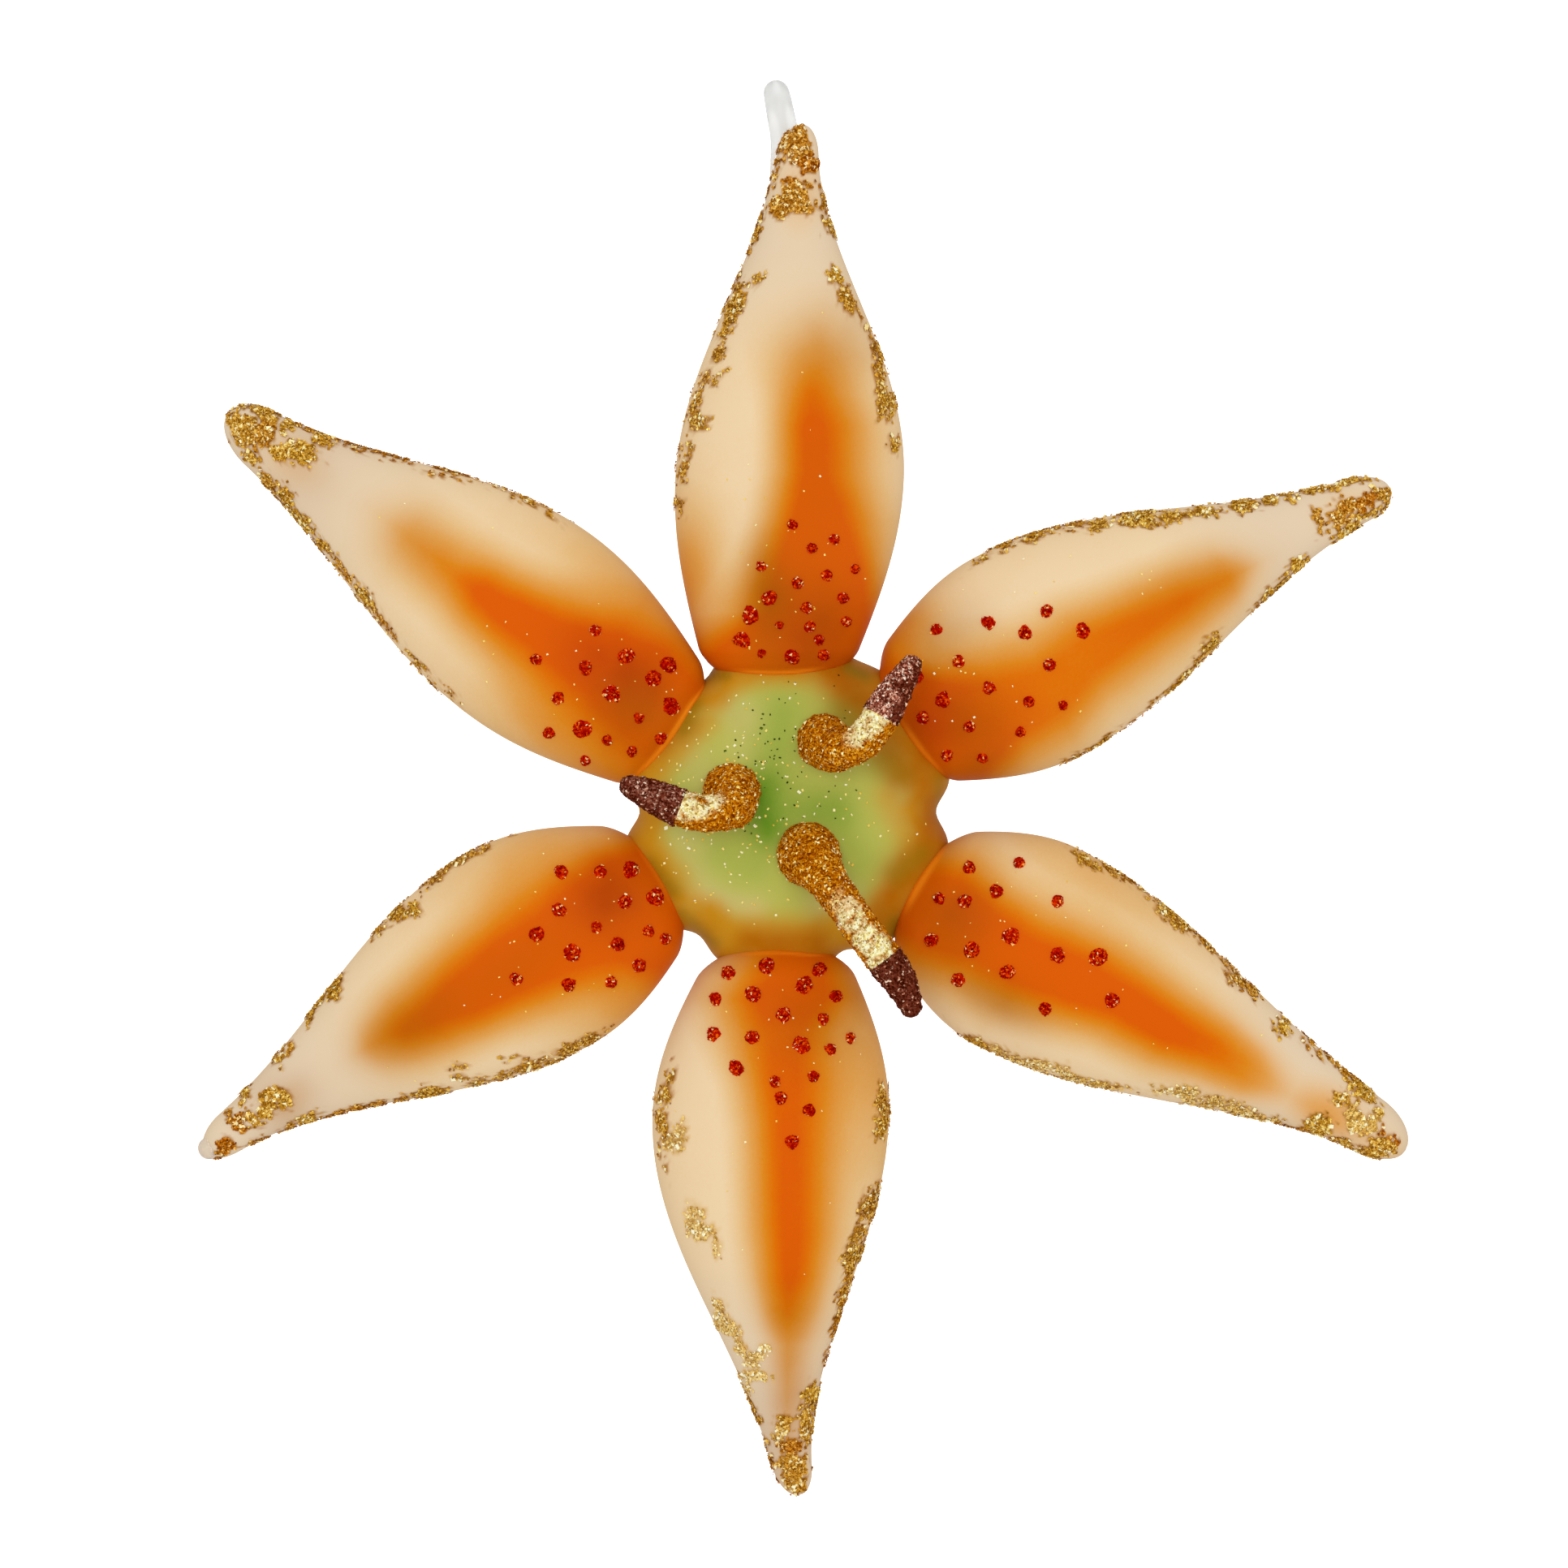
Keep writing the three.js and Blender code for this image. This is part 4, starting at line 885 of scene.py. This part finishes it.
# The top stops of these tables are painted sparkle: highlights given as the flakes' own colour.
GOLD_TONES = [
    (0.0, 144, 88, 6), (0.3, 196, 140, 34), (0.6, 228, 176, 64), (0.84, 248, 208, 100),
    (0.95, 255, 236, 150), (1.0, 255, 252, 214),
]
COPPERY_TONES = [
    (0.0, 128, 54, 0), (0.35, 172, 88, 0), (0.65, 202, 120, 16), (0.85, 230, 160, 54),
    (0.95, 252, 210, 118), (1.0, 255, 244, 190),
]
PALE_TONES = [
    (0.0, 184, 136, 52), (0.35, 234, 192, 104), (0.7, 250, 220, 142), (0.92, 255, 242, 184),
    (1.0, 255, 254, 228),
]


def crust_cover(petal, dabs, along, turn):
    """How far in mm each point lies inside the nearest dab's ragged border, and that dab's tone."""
    middle, _, half_width, _ = section(petal, along)
    place = petal_points(petal, along, turn)
    ragged = COARSE_RAG * ripple(place, COARSE_SIZE, seed=5) + FINE_RAG * ripple(place, FINE_SIZE, seed=6)
    ragged -= BACK_LESS * smooth(-np.sin(turn))
    cover = np.full(along.shape, OUT_OF_REACH)
    tone = np.zeros(along.shape)
    for dab_along, dab_across, half_length, half_breadth, dab_tone in dabs:
        dab_middle, _, dab_half_width, _ = section(petal, np.array(float(dab_along)))
        beside = dab_half_width * np.cos(turn) - (dab_across - dab_middle)
        reach = np.hypot((along - dab_along) / half_length, beside / half_breadth)
        inside = (1 - reach) * min(half_length, half_breadth)
        tone = np.where(inside > cover, dab_tone, tone)
        cover = np.maximum(cover, inside)
    return cover + ragged, tone


def crust_flakes(skin, up, cover, tone, rng):
    """Flakes over a grid of points on the skin: their places, the ways out of it and their tones."""
    rise, run = np.diff(skin, axis=0)[:, :-1], np.diff(skin, axis=1)[:-1]
    area = np.linalg.norm(np.cross(rise, run), axis=2)
    expected = area / CRUST_SPACING**2 * smooth((cover[:-1, :-1] + CRUST_EDGE) / CRUST_FADE)
    row, column = np.nonzero(rng.random(expected.shape) < expected)
    share = rng.random((3, len(row), 1))
    place = skin[row, column] + rise[row, column] * share[0] + run[row, column] * share[1]
    ways = up[row, column]
    return place + ways * (CRUST_LIFT + CRUST_DEPTH * share[2]), ways, tone[row, column]


gold_over = [("pale", PALE_TONES), ("copper", COPPERY_TONES)]
gold_flakes = glitter("gold_flakes", GOLD_TONES, gold_over, metallic=0.2)
crust_rng = np.random.default_rng(21)
for petal_name, petal in PETALS.items():
    rows = np.arange(CRUST_START, petal["length"] - CRUST_END, CRUST_ROW_STEP)
    columns = np.linspace(-np.pi / 2, 1.5 * np.pi, CRUST_COLUMNS)
    along, turn = np.meshgrid(rows, columns, indexing="ij")
    cover, tone = crust_cover(petal, CRUST[petal_name], along, turn)
    skin = petal_points(petal, along, turn)
    step = 0.02
    beside = petal_points(petal, along, turn + step) - skin
    below = petal_points(petal, along - step, turn) - skin
    places, ups, tint = crust_flakes(skin, unit(np.cross(below, beside)), cover, tone, crust_rng)
    make_flakes(
        "gold_crust_" + petal_name, places, ups, CRUST_FLAKE, CRUST_LEAN, gold_flakes,
        crust_rng, {"copper": tint, "pale": -tint},
    )
    made, glass_along, glass_turn = glass_petals[petal_name]
    cover, tone = crust_cover(petal, CRUST[petal_name], glass_along, glass_turn)
    glue = GLUE_STRENGTH * smooth((cover + GLUE_EDGE) / GLUE_FADE)
    add_masks(made.data, {"glue": glue, "pale_glue": (-tone).clip(0, 1)})

# ---- The stamens: three solid glass rods on swollen feet, bent to the front and melted onto the hub.
# The rods are rolled in copper and gold glitter, paler just under the anthers and with a pale streak of
# painted highlight on their lit side, and the anthers in plum with a rosy painted highlight on their lit
# side.

ROD_RADIUS = 1.55
ANTHER_TIP_RADIUS = 0.65
ANTHER_TAPER = 1.8
FOOT_LENGTH = 3.6
ROD_START = 3.0
END_FLAT = 0.12
ROD_RINGS, ROD_SIDES = 110, 48
ROD_FLAKE = 0.19
ROD_SPACING = 0.95 * ROD_FLAKE
ROD_LUMPS, ROD_LUMP_SIZE = 0.045, 0.7
LINE_SAMPLES = 60
NEAREST_STEP = 6  # every sixth point of a line is enough to find the nearest one
HIGHLIGHT_SIDE = (-0.45, -0.75, 0.5)
STREAK_BORDER, STREAK_WIDENING, STREAK_FADE = 0.78, 0.5, 0.25
STREAK_RAG, STREAK_RAG_SIZE, STREAK_SEED = 0.12, 1.4, 30
PATCH_LEVEL, PATCH_DEPTH, PATCH_SIZE, PATCH_SEED = 0.85, 0.25, 1.0, 80
ROSY_BORDER, ROSY_FADE = 0.35, 0.5
ROSY_RAG, ROSY_RAG_SIZE, ROSY_SEED = 0.3, 1.6, 40
ANTHER_OVER = 0.3
ANTHER_CRUST = 0.05

# Foot radius, anther length, how far the pale gold and its painted highlight run down from the anther,
# how strong the rosy painted highlight on the anther's lit side is, and the rod's line as x, z and
# depth towards the front.
STAMENS = {
    "upper_right": (2.35, 6.0, 4.0, 1.0, [
        (2.8, 5, 3.5), (2.8, 4.9, 7.5), (3.8, 4.1, 10.8), (6.3, 5.2, 12.3), (8.7, 9, 12.2),
        (10.7, 12.1, 11.6),
    ]),
    "left": (2.5, 5.6, 4.6, 0.25, [
        (-5.1, 0.9, 3.5), (-5.1, 0.6, 7.5), (-5, -0.7, 10.8), (-8, -1.1, 12), (-12, 0.4, 11.8),
        (-14.5, 1.5, 11.2),
    ]),
    "bottom": (2.8, 5.6, 7.4, 0.0, [
        (1.4, -4.6, 3.5), (1.6, -4.9, 7.5), (3.2, -7.1, 10.8), (6.2, -11.3, 12.4), (9.3, -15.6, 12.2),
        (10.5, -18.4, 11.6),
    ]),
}

# The top stops of these tables are painted sparkle: highlights given as the flakes' own colour.
BRONZE_TONES = [
    (0.0, 112, 44, 0), (0.3, 168, 84, 0), (0.6, 200, 114, 2), (0.84, 230, 156, 26),
    (0.94, 250, 190, 60), (0.965, 255, 236, 136), (1.0, 255, 252, 196),
]
# Painted highlight: pale and near-white gold where the rods face the light.
HIGHLIGHT_STREAK_TONES = [
    (0.0, 170, 122, 30), (0.2, 224, 194, 104), (0.45, 255, 242, 166), (0.7, 255, 255, 206),
    (1.0, 255, 255, 232),
]
PLUM_TONES = [
    (0.0, 56, 10, 0), (0.4, 92, 33, 16), (0.75, 116, 52, 34), (0.93, 138, 72, 50),
    (0.97, 206, 136, 106), (1.0, 255, 228, 200),
]
# Painted highlight: rosy flakes on the anthers' lit side.
ROSY_HIGHLIGHT_TONES = [
    (0.0, 80, 24, 8), (0.4, 122, 54, 36), (0.65, 178, 100, 76), (0.85, 250, 186, 156),
    (1.0, 255, 248, 228),
]


def smooth_line(points):
    """A centripetal Catmull-Rom line through the points."""
    knots = np.array([2 * points[0] - points[1], *points, 2 * points[-1] - points[-2]])
    spans = np.linalg.norm(np.diff(knots, axis=0), axis=1) ** 0.5
    share = np.linspace(0, 1, LINE_SAMPLES, endpoint=False)[:, None]
    line = []
    for number in range(1, len(knots) - 2):
        before, start, end, after = knots[number - 1 : number + 3]
        a, b, c = spans[number - 1 : number + 2]
        leave = b * ((start - before) / a - (end - before) / (a + b)) + (end - start)
        arrive = (end - start) - b * ((after - start) / (b + c) - (after - end) / c)
        line.append(
            start + leave * share + (3 * (end - start) - 2 * leave - arrive) * share**2
            + (2 * (start - end) + leave + arrive) * share**3
        )
    return np.concatenate([*line, knots[-2:-1]])


def rod_points(line, radius_at, low, high, rings, sides):
    """Rings of points round a line, from low to high along it, then the two poles."""
    steps = np.append(0, np.cumsum(np.linalg.norm(np.diff(line, axis=0), axis=1)))
    along = np.linspace(low, high, rings)
    centre = np.stack([np.interp(along, steps, line[:, axis]) for axis in range(3)], axis=1)
    ways = unit(np.gradient(centre, axis=0))
    side = unit(np.cross(ways[0], (0.3, 0.2, 0.9)))
    sides_of = []
    for way in ways:
        side = unit(side - way * (side @ way))
        sides_of.append(side)
    first = np.array(sides_of)
    second = np.cross(ways, first)
    turn = 2 * np.pi * np.arange(sides) / sides
    reach = radius_at(along)[:, None, None]
    ring = first[:, None] * np.cos(turn)[:, None] + second[:, None] * np.sin(turn)[:, None]
    points = (centre[:, None] + reach * ring).reshape(-1, 3)
    points = np.concatenate([points, centre[:1], centre[-1:]])
    return points, np.append(np.repeat(along, sides), along[[0, -1]])


def line_length(line):
    return np.linalg.norm(np.diff(line, axis=0), axis=1).sum()


def out_from(line, points):
    """The way out from a line to each point round it."""
    knots = line[::NEAREST_STEP]
    nearest = np.linalg.norm(points[:, None] - knots, axis=2).argmin(axis=1)
    return unit(points - knots[nearest] + 1e-9)


def bumped(points, line, seed):
    """Points pushed in and out from a line, as glitter lies uneven on a rod."""
    return points + out_from(line, points) * ROD_LUMPS * ripple(points, ROD_LUMP_SIZE, seed)[:, None]


def facing_light(points, line):
    """How squarely each point of a rod faces the side of its painted highlight: 1 is straight at it."""
    return out_from(line, points) @ unit(np.array(HIGHLIGHT_SIDE))


def streak(points, along, line, anther_start, pale_run, order):
    """How pale the gold is, with painted highlight: a ragged streak on the lit side, widening to the
    anther.
    """
    near = 1 - (anther_start - along) / pale_run
    patchy = smooth(PATCH_LEVEL + PATCH_DEPTH * ripple(points, PATCH_SIZE, PATCH_SEED + order))
    ragged = facing_light(points, line) - STREAK_BORDER + STREAK_WIDENING * near
    ragged += STREAK_RAG * ripple(points, STREAK_RAG_SIZE, STREAK_SEED + order)
    return patchy * smooth(near * 2) * smooth(ragged / STREAK_FADE)


def lit_side(points, line, order):
    """Where an anther's rosy painted highlight lies: 1 well inside the ragged border of its lit side."""
    rag = ripple(points, ROSY_RAG_SIZE, ROSY_SEED + order)
    return smooth((facing_light(points, line) - ROSY_BORDER + ROSY_RAG * rag) / ROSY_FADE)


def filament_radius(along, foot_radius):
    swelling = np.exp(-((np.maximum(along - ROD_START, 0) / FOOT_LENGTH) ** 2))
    return ROD_RADIUS + (foot_radius - ROD_RADIUS) * swelling


def anther_radius(along, start, length):
    run = np.clip((along - start) / (length - start), 0, 1)
    taper = ROD_RADIUS + ANTHER_CRUST + (ANTHER_TIP_RADIUS - ROD_RADIUS) * run**ANTHER_TAPER
    return taper * rounded((length - along) / ANTHER_TIP_RADIUS + END_FLAT)


def coating(name, tones, highlight_tones, slot, sheen):
    """The glue and the flakes of a rod's coat of glitter, and a slot name that nothing uses."""
    over = [("streak", highlight_tones)]
    glue = glitter(name + "_glitter_glue", tones, over, cell=GLUE_CELL, metallic=0.1, sheen=sheen)
    return glue, glitter(name + "_flakes", tones, over, metallic=0.15, sheen=sheen), slot


coatings = {
    "filament": coating("bronze", BRONZE_TONES, HIGHLIGHT_STREAK_TONES, "gold_glitter", GOLD_SHEEN),
    "anther": coating("plum", PLUM_TONES, ROSY_HIGHLIGHT_TONES, "plum_glitter", PLUM_SHEEN),
}
stamen_rng = np.random.default_rng(8)
rod_faces = skin_faces(ROD_RINGS, ROD_SIDES)
rod_walls = np.array([face for face in rod_faces if len(face) == 4])
for order, (stamen_name, stamen) in enumerate(STAMENS.items()):
    foot_radius, anther_length, pale_run, rosy_highlight, stops = stamen
    route = smooth_line(np.array([(x, -depth, z) for x, z, depth in stops]))
    length = line_length(route)
    anther_start = length - anther_length
    parts = {
        "filament": (0, anther_start + ANTHER_OVER, lambda along: filament_radius(along, foot_radius)),
        "anther": (anther_start, length, lambda along: anther_radius(along, anther_start, length)),
    }
    for part, (low, high, radius_at) in parts.items():
        points, along = rod_points(route, radius_at, low, high, ROD_RINGS, ROD_SIDES)
        points = bumped(points, route, order)
        if part == "filament":
            # pale gold near the anther and painted highlight on the lit side
            pale = streak(points, along, route, anther_start, pale_run, order)
        else:
            # the rosy painted highlight on the anther's lit side
            pale = rosy_highlight * lit_side(points, route, order)
        shown = rod_walls[along[rod_walls[:, 0]] > ROD_START]
        stuck, ups, walls = scatter(points, shown, ROD_SPACING, stamen_rng)
        glue, flakes, slot = coatings[part]
        made = make_piece(f"{part}_rod_{stamen_name}", points, rod_faces, glue, {"streak": pale})
        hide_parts(f"{part}_{stamen_name}")
        make_flakes(
            f"{part}_flakes_{stamen_name}", stuck, ups, ROD_FLAKE, FLAKE_LEAN, flakes, stamen_rng,
            {"streak": pale[shown[walls, 0]]},
        )

# ---- The hook: clear glass drawn out behind the upper petal's tip, bent back while hot so that the
# ornament can hang from it, with the petal's cream sprayed over its root.

HOOK_BEND_RADIUS = 4.2
HOOK_BEND_BACK, HOOK_BEND_UP = 9.0, 57.35
HOOK_LEG_X, HOOK_TOP_X = -0.55, -1.3
HOOK_ROOT_RADIUS, HOOK_TOP_RADIUS, HOOK_END_RADIUS = 1.6, 1.1, 0.9
HOOK_ROOT = [(-0.3, 2.4, 45), (-0.5, 4.1, 50), (-0.5, 4.7, 54)]
HOOK_END = [(-0.6, 13.3, 54.8), (-0.6, 13.9, 52.9)]
HOOK_BEND_STEPS = 6
HOOK_RINGS, HOOK_SIDES = 160, 40
CLEAR = (244, 244, 242)
HOOK_CREAM = (234, 204, 158)
CREAM_END, CREAM_RUN = 11.5, 5


def hook_line():
    turn = np.pi * np.arange(HOOK_BEND_STEPS + 1) / HOOK_BEND_STEPS
    bend = np.stack([
        HOOK_LEG_X + (HOOK_TOP_X - HOOK_LEG_X) * np.sin(turn),
        HOOK_BEND_BACK - HOOK_BEND_RADIUS * np.cos(turn),
        HOOK_BEND_UP + HOOK_BEND_RADIUS * np.sin(turn),
    ], axis=1)
    return smooth_line(np.concatenate([HOOK_ROOT, bend, HOOK_END]))


def hook_radius(along, top, length):
    rising = HOOK_ROOT_RADIUS + (HOOK_TOP_RADIUS - HOOK_ROOT_RADIUS) * along / top
    falling = HOOK_TOP_RADIUS + (HOOK_END_RADIUS - HOOK_TOP_RADIUS) * (along - top) / (length - top)
    return np.where(along < top, rising, falling) * rounded((length - along) / HOOK_END_RADIUS + END_FLAT)


def clear_glass(name):
    """Drawn glass with a faint milkiness, under cream spray where the sprayed mask is 1."""
    finish = Finish(name, roughness=0.12, ior=1.35, specular_ior_level=0.3, transmission_weight=0.4)
    finish.feed(base_color=finish.blend(CLEAR, HOOK_CREAM, finish.attribute("sprayed")))
    return finish.material


route = hook_line()
hook_length = line_length(route)
hook_top = line_length(route[: LINE_SAMPLES * (len(HOOK_ROOT) + HOOK_BEND_STEPS // 2) + 1])
points, along = rod_points(
    route, lambda along: hook_radius(along, hook_top, hook_length), 0, hook_length, HOOK_RINGS, HOOK_SIDES
)
sprayed = {"sprayed": np.clip((CREAM_END - along) / CREAM_RUN, 0, 1)}
glass = clear_glass("clear_drawn_glass")
hook = make_piece("glass_hook", points, skin_faces(HOOK_RINGS, HOOK_SIDES), glass, sprayed)
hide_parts("hook")

# ---- The bead on the lower left petal's tip, where the glass was pulled off: a clear round drop that
# the tip half hides, thinly sprayed with the petal's cream.

BEAD_ALONG, BEAD_LIFT, BEAD_RADIUS = 58.75, 0.4, 0.98
BEAD_CREAM = 0.5
BEAD_RINGS, BEAD_SIDES = 20, 32

bead_petal = PETALS["lower_left"]
bead_middle, bead_depth, _, _ = section(bead_petal, np.array([BEAD_ALONG]))
bead_x, bead_z = spread_out(bead_petal, BEAD_ALONG, bead_middle[0])
bead_centre = np.array([bead_x, -bead_depth[0] - BEAD_LIFT, bead_z])
polar = np.pi * np.arange(1, BEAD_RINGS + 1) / (BEAD_RINGS + 1)
around = 2 * np.pi * np.arange(BEAD_SIDES) / BEAD_SIDES
ball = np.stack([
    np.outer(np.sin(polar), np.cos(around)), np.outer(np.sin(polar), np.sin(around)),
    np.outer(-np.cos(polar), np.ones(BEAD_SIDES)),
], axis=-1).reshape(-1, 3)
ball = np.concatenate([ball, [(0, 0, -1), (0, 0, 1)]]) * BEAD_RADIUS + bead_centre
sprayed = {"sprayed": np.full(len(ball), BEAD_CREAM)}
make_piece("tip_bead", ball, skin_faces(BEAD_RINGS, BEAD_SIDES), glass, sprayed)

# ---- Stray glitter: single flakes that fell on the wet paint, bright ones mostly over the hub's left
# and between the petals' spots, and dark green ones in the dimple and above it.

STRAY_SIZE = 0.2
STRAY_SMALL = 0.8 * STRAY_SIZE
STRAY_LIFT, STRAY_LEAN = 0.03, 0.12
STRAY_REACH = 12.2
HUB_BRIGHT_MIDDLE, HUB_BRIGHT_SPREAD = (-4.0, -1.5), (6.0, 6.0)
HUB_DARK_MIDDLE, HUB_DARK_SPREAD = (-0.6, 3.6), (3.0, 3.6)
HUB_BRIGHT, HUB_DARK, PETAL_BRIGHT = 340, 90, 32  # bright ones that miss the hub are left out
# The stray bright flakes are gold, and their palest tones are painted sparkle.
BRIGHT_TONES = [(0.0, 240, 196, 70), (0.5, 255, 238, 140), (1.0, 255, 250, 212)]
DARK_TONES = [(0.0, 30, 40, 10), (1.0, 80, 96, 24)]


def over_hub(x, z):
    step = 0.05
    place = hub_front(x, z)
    up = unit(np.cross(hub_front(x, z + step) - place, hub_front(x + step, z) - place))
    up *= np.where(up[:, 1:2] > 0, -1, 1)
    return place + up * STRAY_LIFT, up


stray_rng = np.random.default_rng(3)
bright = glitter("bright_flakes", BRIGHT_TONES, metallic=0.0)
dark = glitter("dark_green_flakes", DARK_TONES, roughness=0.5)

x, z = stray_rng.normal(HUB_BRIGHT_MIDDLE, HUB_BRIGHT_SPREAD, (HUB_BRIGHT, 2)).T
near = from_hub(x, z)[0] < STRAY_REACH
places, ups = over_hub(x[near], z[near])
make_flakes("hub_bright_flakes", places, ups, STRAY_SIZE, STRAY_LEAN, bright, stray_rng)
x, z = stray_rng.normal(HUB_DARK_MIDDLE, HUB_DARK_SPREAD, (HUB_DARK, 2)).T
places, ups = over_hub(x, z)
make_flakes("hub_dark_flakes", places, ups, STRAY_SMALL, STRAY_LEAN, dark, stray_rng)

for petal_name, petal in PETALS.items():
    along = petal["lap"] + 2 + stray_rng.gamma(2.0, 6.0, PETAL_BRIGHT).clip(0, 40)
    middle, _, half_width, _ = section(petal, along)
    across = middle + half_width * stray_rng.normal(0, 0.4, PETAL_BRIGHT).clip(-0.8, 0.8)
    places, ups = on_front(petal, along, across, np.full(PETAL_BRIGHT, STRAY_LIFT))
    name = "stray_flakes_" + petal_name
    make_flakes(name, places, ups, STRAY_SMALL, STRAY_LEAN, bright, stray_rng)

# ---- The studio: a pale floor that sweeps up into a bright backdrop well behind the ornament, one
# broad soft light from the left and a weaker one from the right, both nearly from the front.

VIEW_WIDTH = 135.24 * MM  # what the frame takes in at the flower's middle
VIEW_CENTRE = np.array([-0.63, 0.0, 1.33])  # the frame's middle from the flower's middle, in mm
CAMERA_DISTANCE = 0.9
SENSOR = 36.0
LIGHT_SIZE = 0.3
WORLD_STRENGTH = 0.79

camera_data = bpy.data.cameras.new("camera")
camera_data.sensor_width = SENSOR
camera_data.lens = SENSOR * CAMERA_DISTANCE / VIEW_WIDTH
camera = bpy.data.objects.new("camera", camera_data)
camera.location = (MIDDLE + VIEW_CENTRE) * MM - np.array([0, CAMERA_DISTANCE, 0])
camera.rotation_euler = (math.pi / 2, 0, 0)
bpy.context.scene.collection.objects.link(camera)
bpy.context.scene.camera = camera


def soft_light(name, place, power):
    """A square light that faces the flower's middle."""
    data = bpy.data.lights.new(name, "AREA")
    data.size = LIGHT_SIZE
    data.energy = power
    light = bpy.data.objects.new(name, data)
    light.location = place
    towards = Vector(MIDDLE * MM - np.array(place))
    light.rotation_euler = towards.to_track_quat("-Z", "Y").to_euler()
    bpy.context.scene.collection.objects.link(light)


soft_light("key_light", (-0.22, -0.87, 0.06), power=1.2)
soft_light("fill_light", (0.36, -0.83, -0.06), power=0.9)

world = bpy.data.worlds.new("studio")
world.use_nodes = True
world.node_tree.nodes["Background"].inputs["Color"].default_value = (1, 1, 1, 1)
world.node_tree.nodes["Background"].inputs["Strength"].default_value = WORLD_STRENGTH
bpy.context.scene.world = world

SWEEP_START, SWEEP_FLAT, SWEEP_RADIUS = 0.001, 0.8, 1.9
SWEEP_FLOOR, SWEEP_TOP = -0.35, 1.6
SWEEP_BEND, SWEEP_BEND_STEPS = 0.4, 12
SWEEP_SIDES = 96


def sweep_profile():
    """The backdrop's profile as distance from the middle and height: floor, bend, wall."""
    turn = np.linspace(0, np.pi / 2, SWEEP_BEND_STEPS)
    out = SWEEP_RADIUS - SWEEP_BEND * (1 - np.sin(turn))
    up = SWEEP_FLOOR + SWEEP_BEND * (1 - np.cos(turn))
    floor = [(SWEEP_START, SWEEP_FLOOR), (SWEEP_FLAT, SWEEP_FLOOR)]
    return [*floor, *zip(out, up), (SWEEP_RADIUS, SWEEP_TOP)]


rows = sweep_profile()
around = 2 * np.pi * np.arange(SWEEP_SIDES) / SWEEP_SIDES
sweep_points = [(out * math.cos(turn), out * math.sin(turn), up) for out, up in rows for turn in around]
sweep_mesh = bpy.data.meshes.new("backdrop")
sweep_mesh.from_pydata(sweep_points, [], wall_faces(len(rows), SWEEP_SIDES))
sweep_paint = Finish(
    "backdrop_white", base_color=(0.8, 0.8, 0.8, 1), roughness=1.0,
    emission_color=(1, 1, 1, 1), emission_strength=0.9,
)
sweep_mesh.materials.append(sweep_paint.material)
backdrop = bpy.data.objects.new("backdrop", sweep_mesh)
backdrop.visible_diffuse = False
backdrop.visible_glossy = False
backdrop.visible_shadow = False
bpy.context.scene.collection.objects.link(backdrop)

bpy.context.scene.view_settings.view_transform = "Standard"
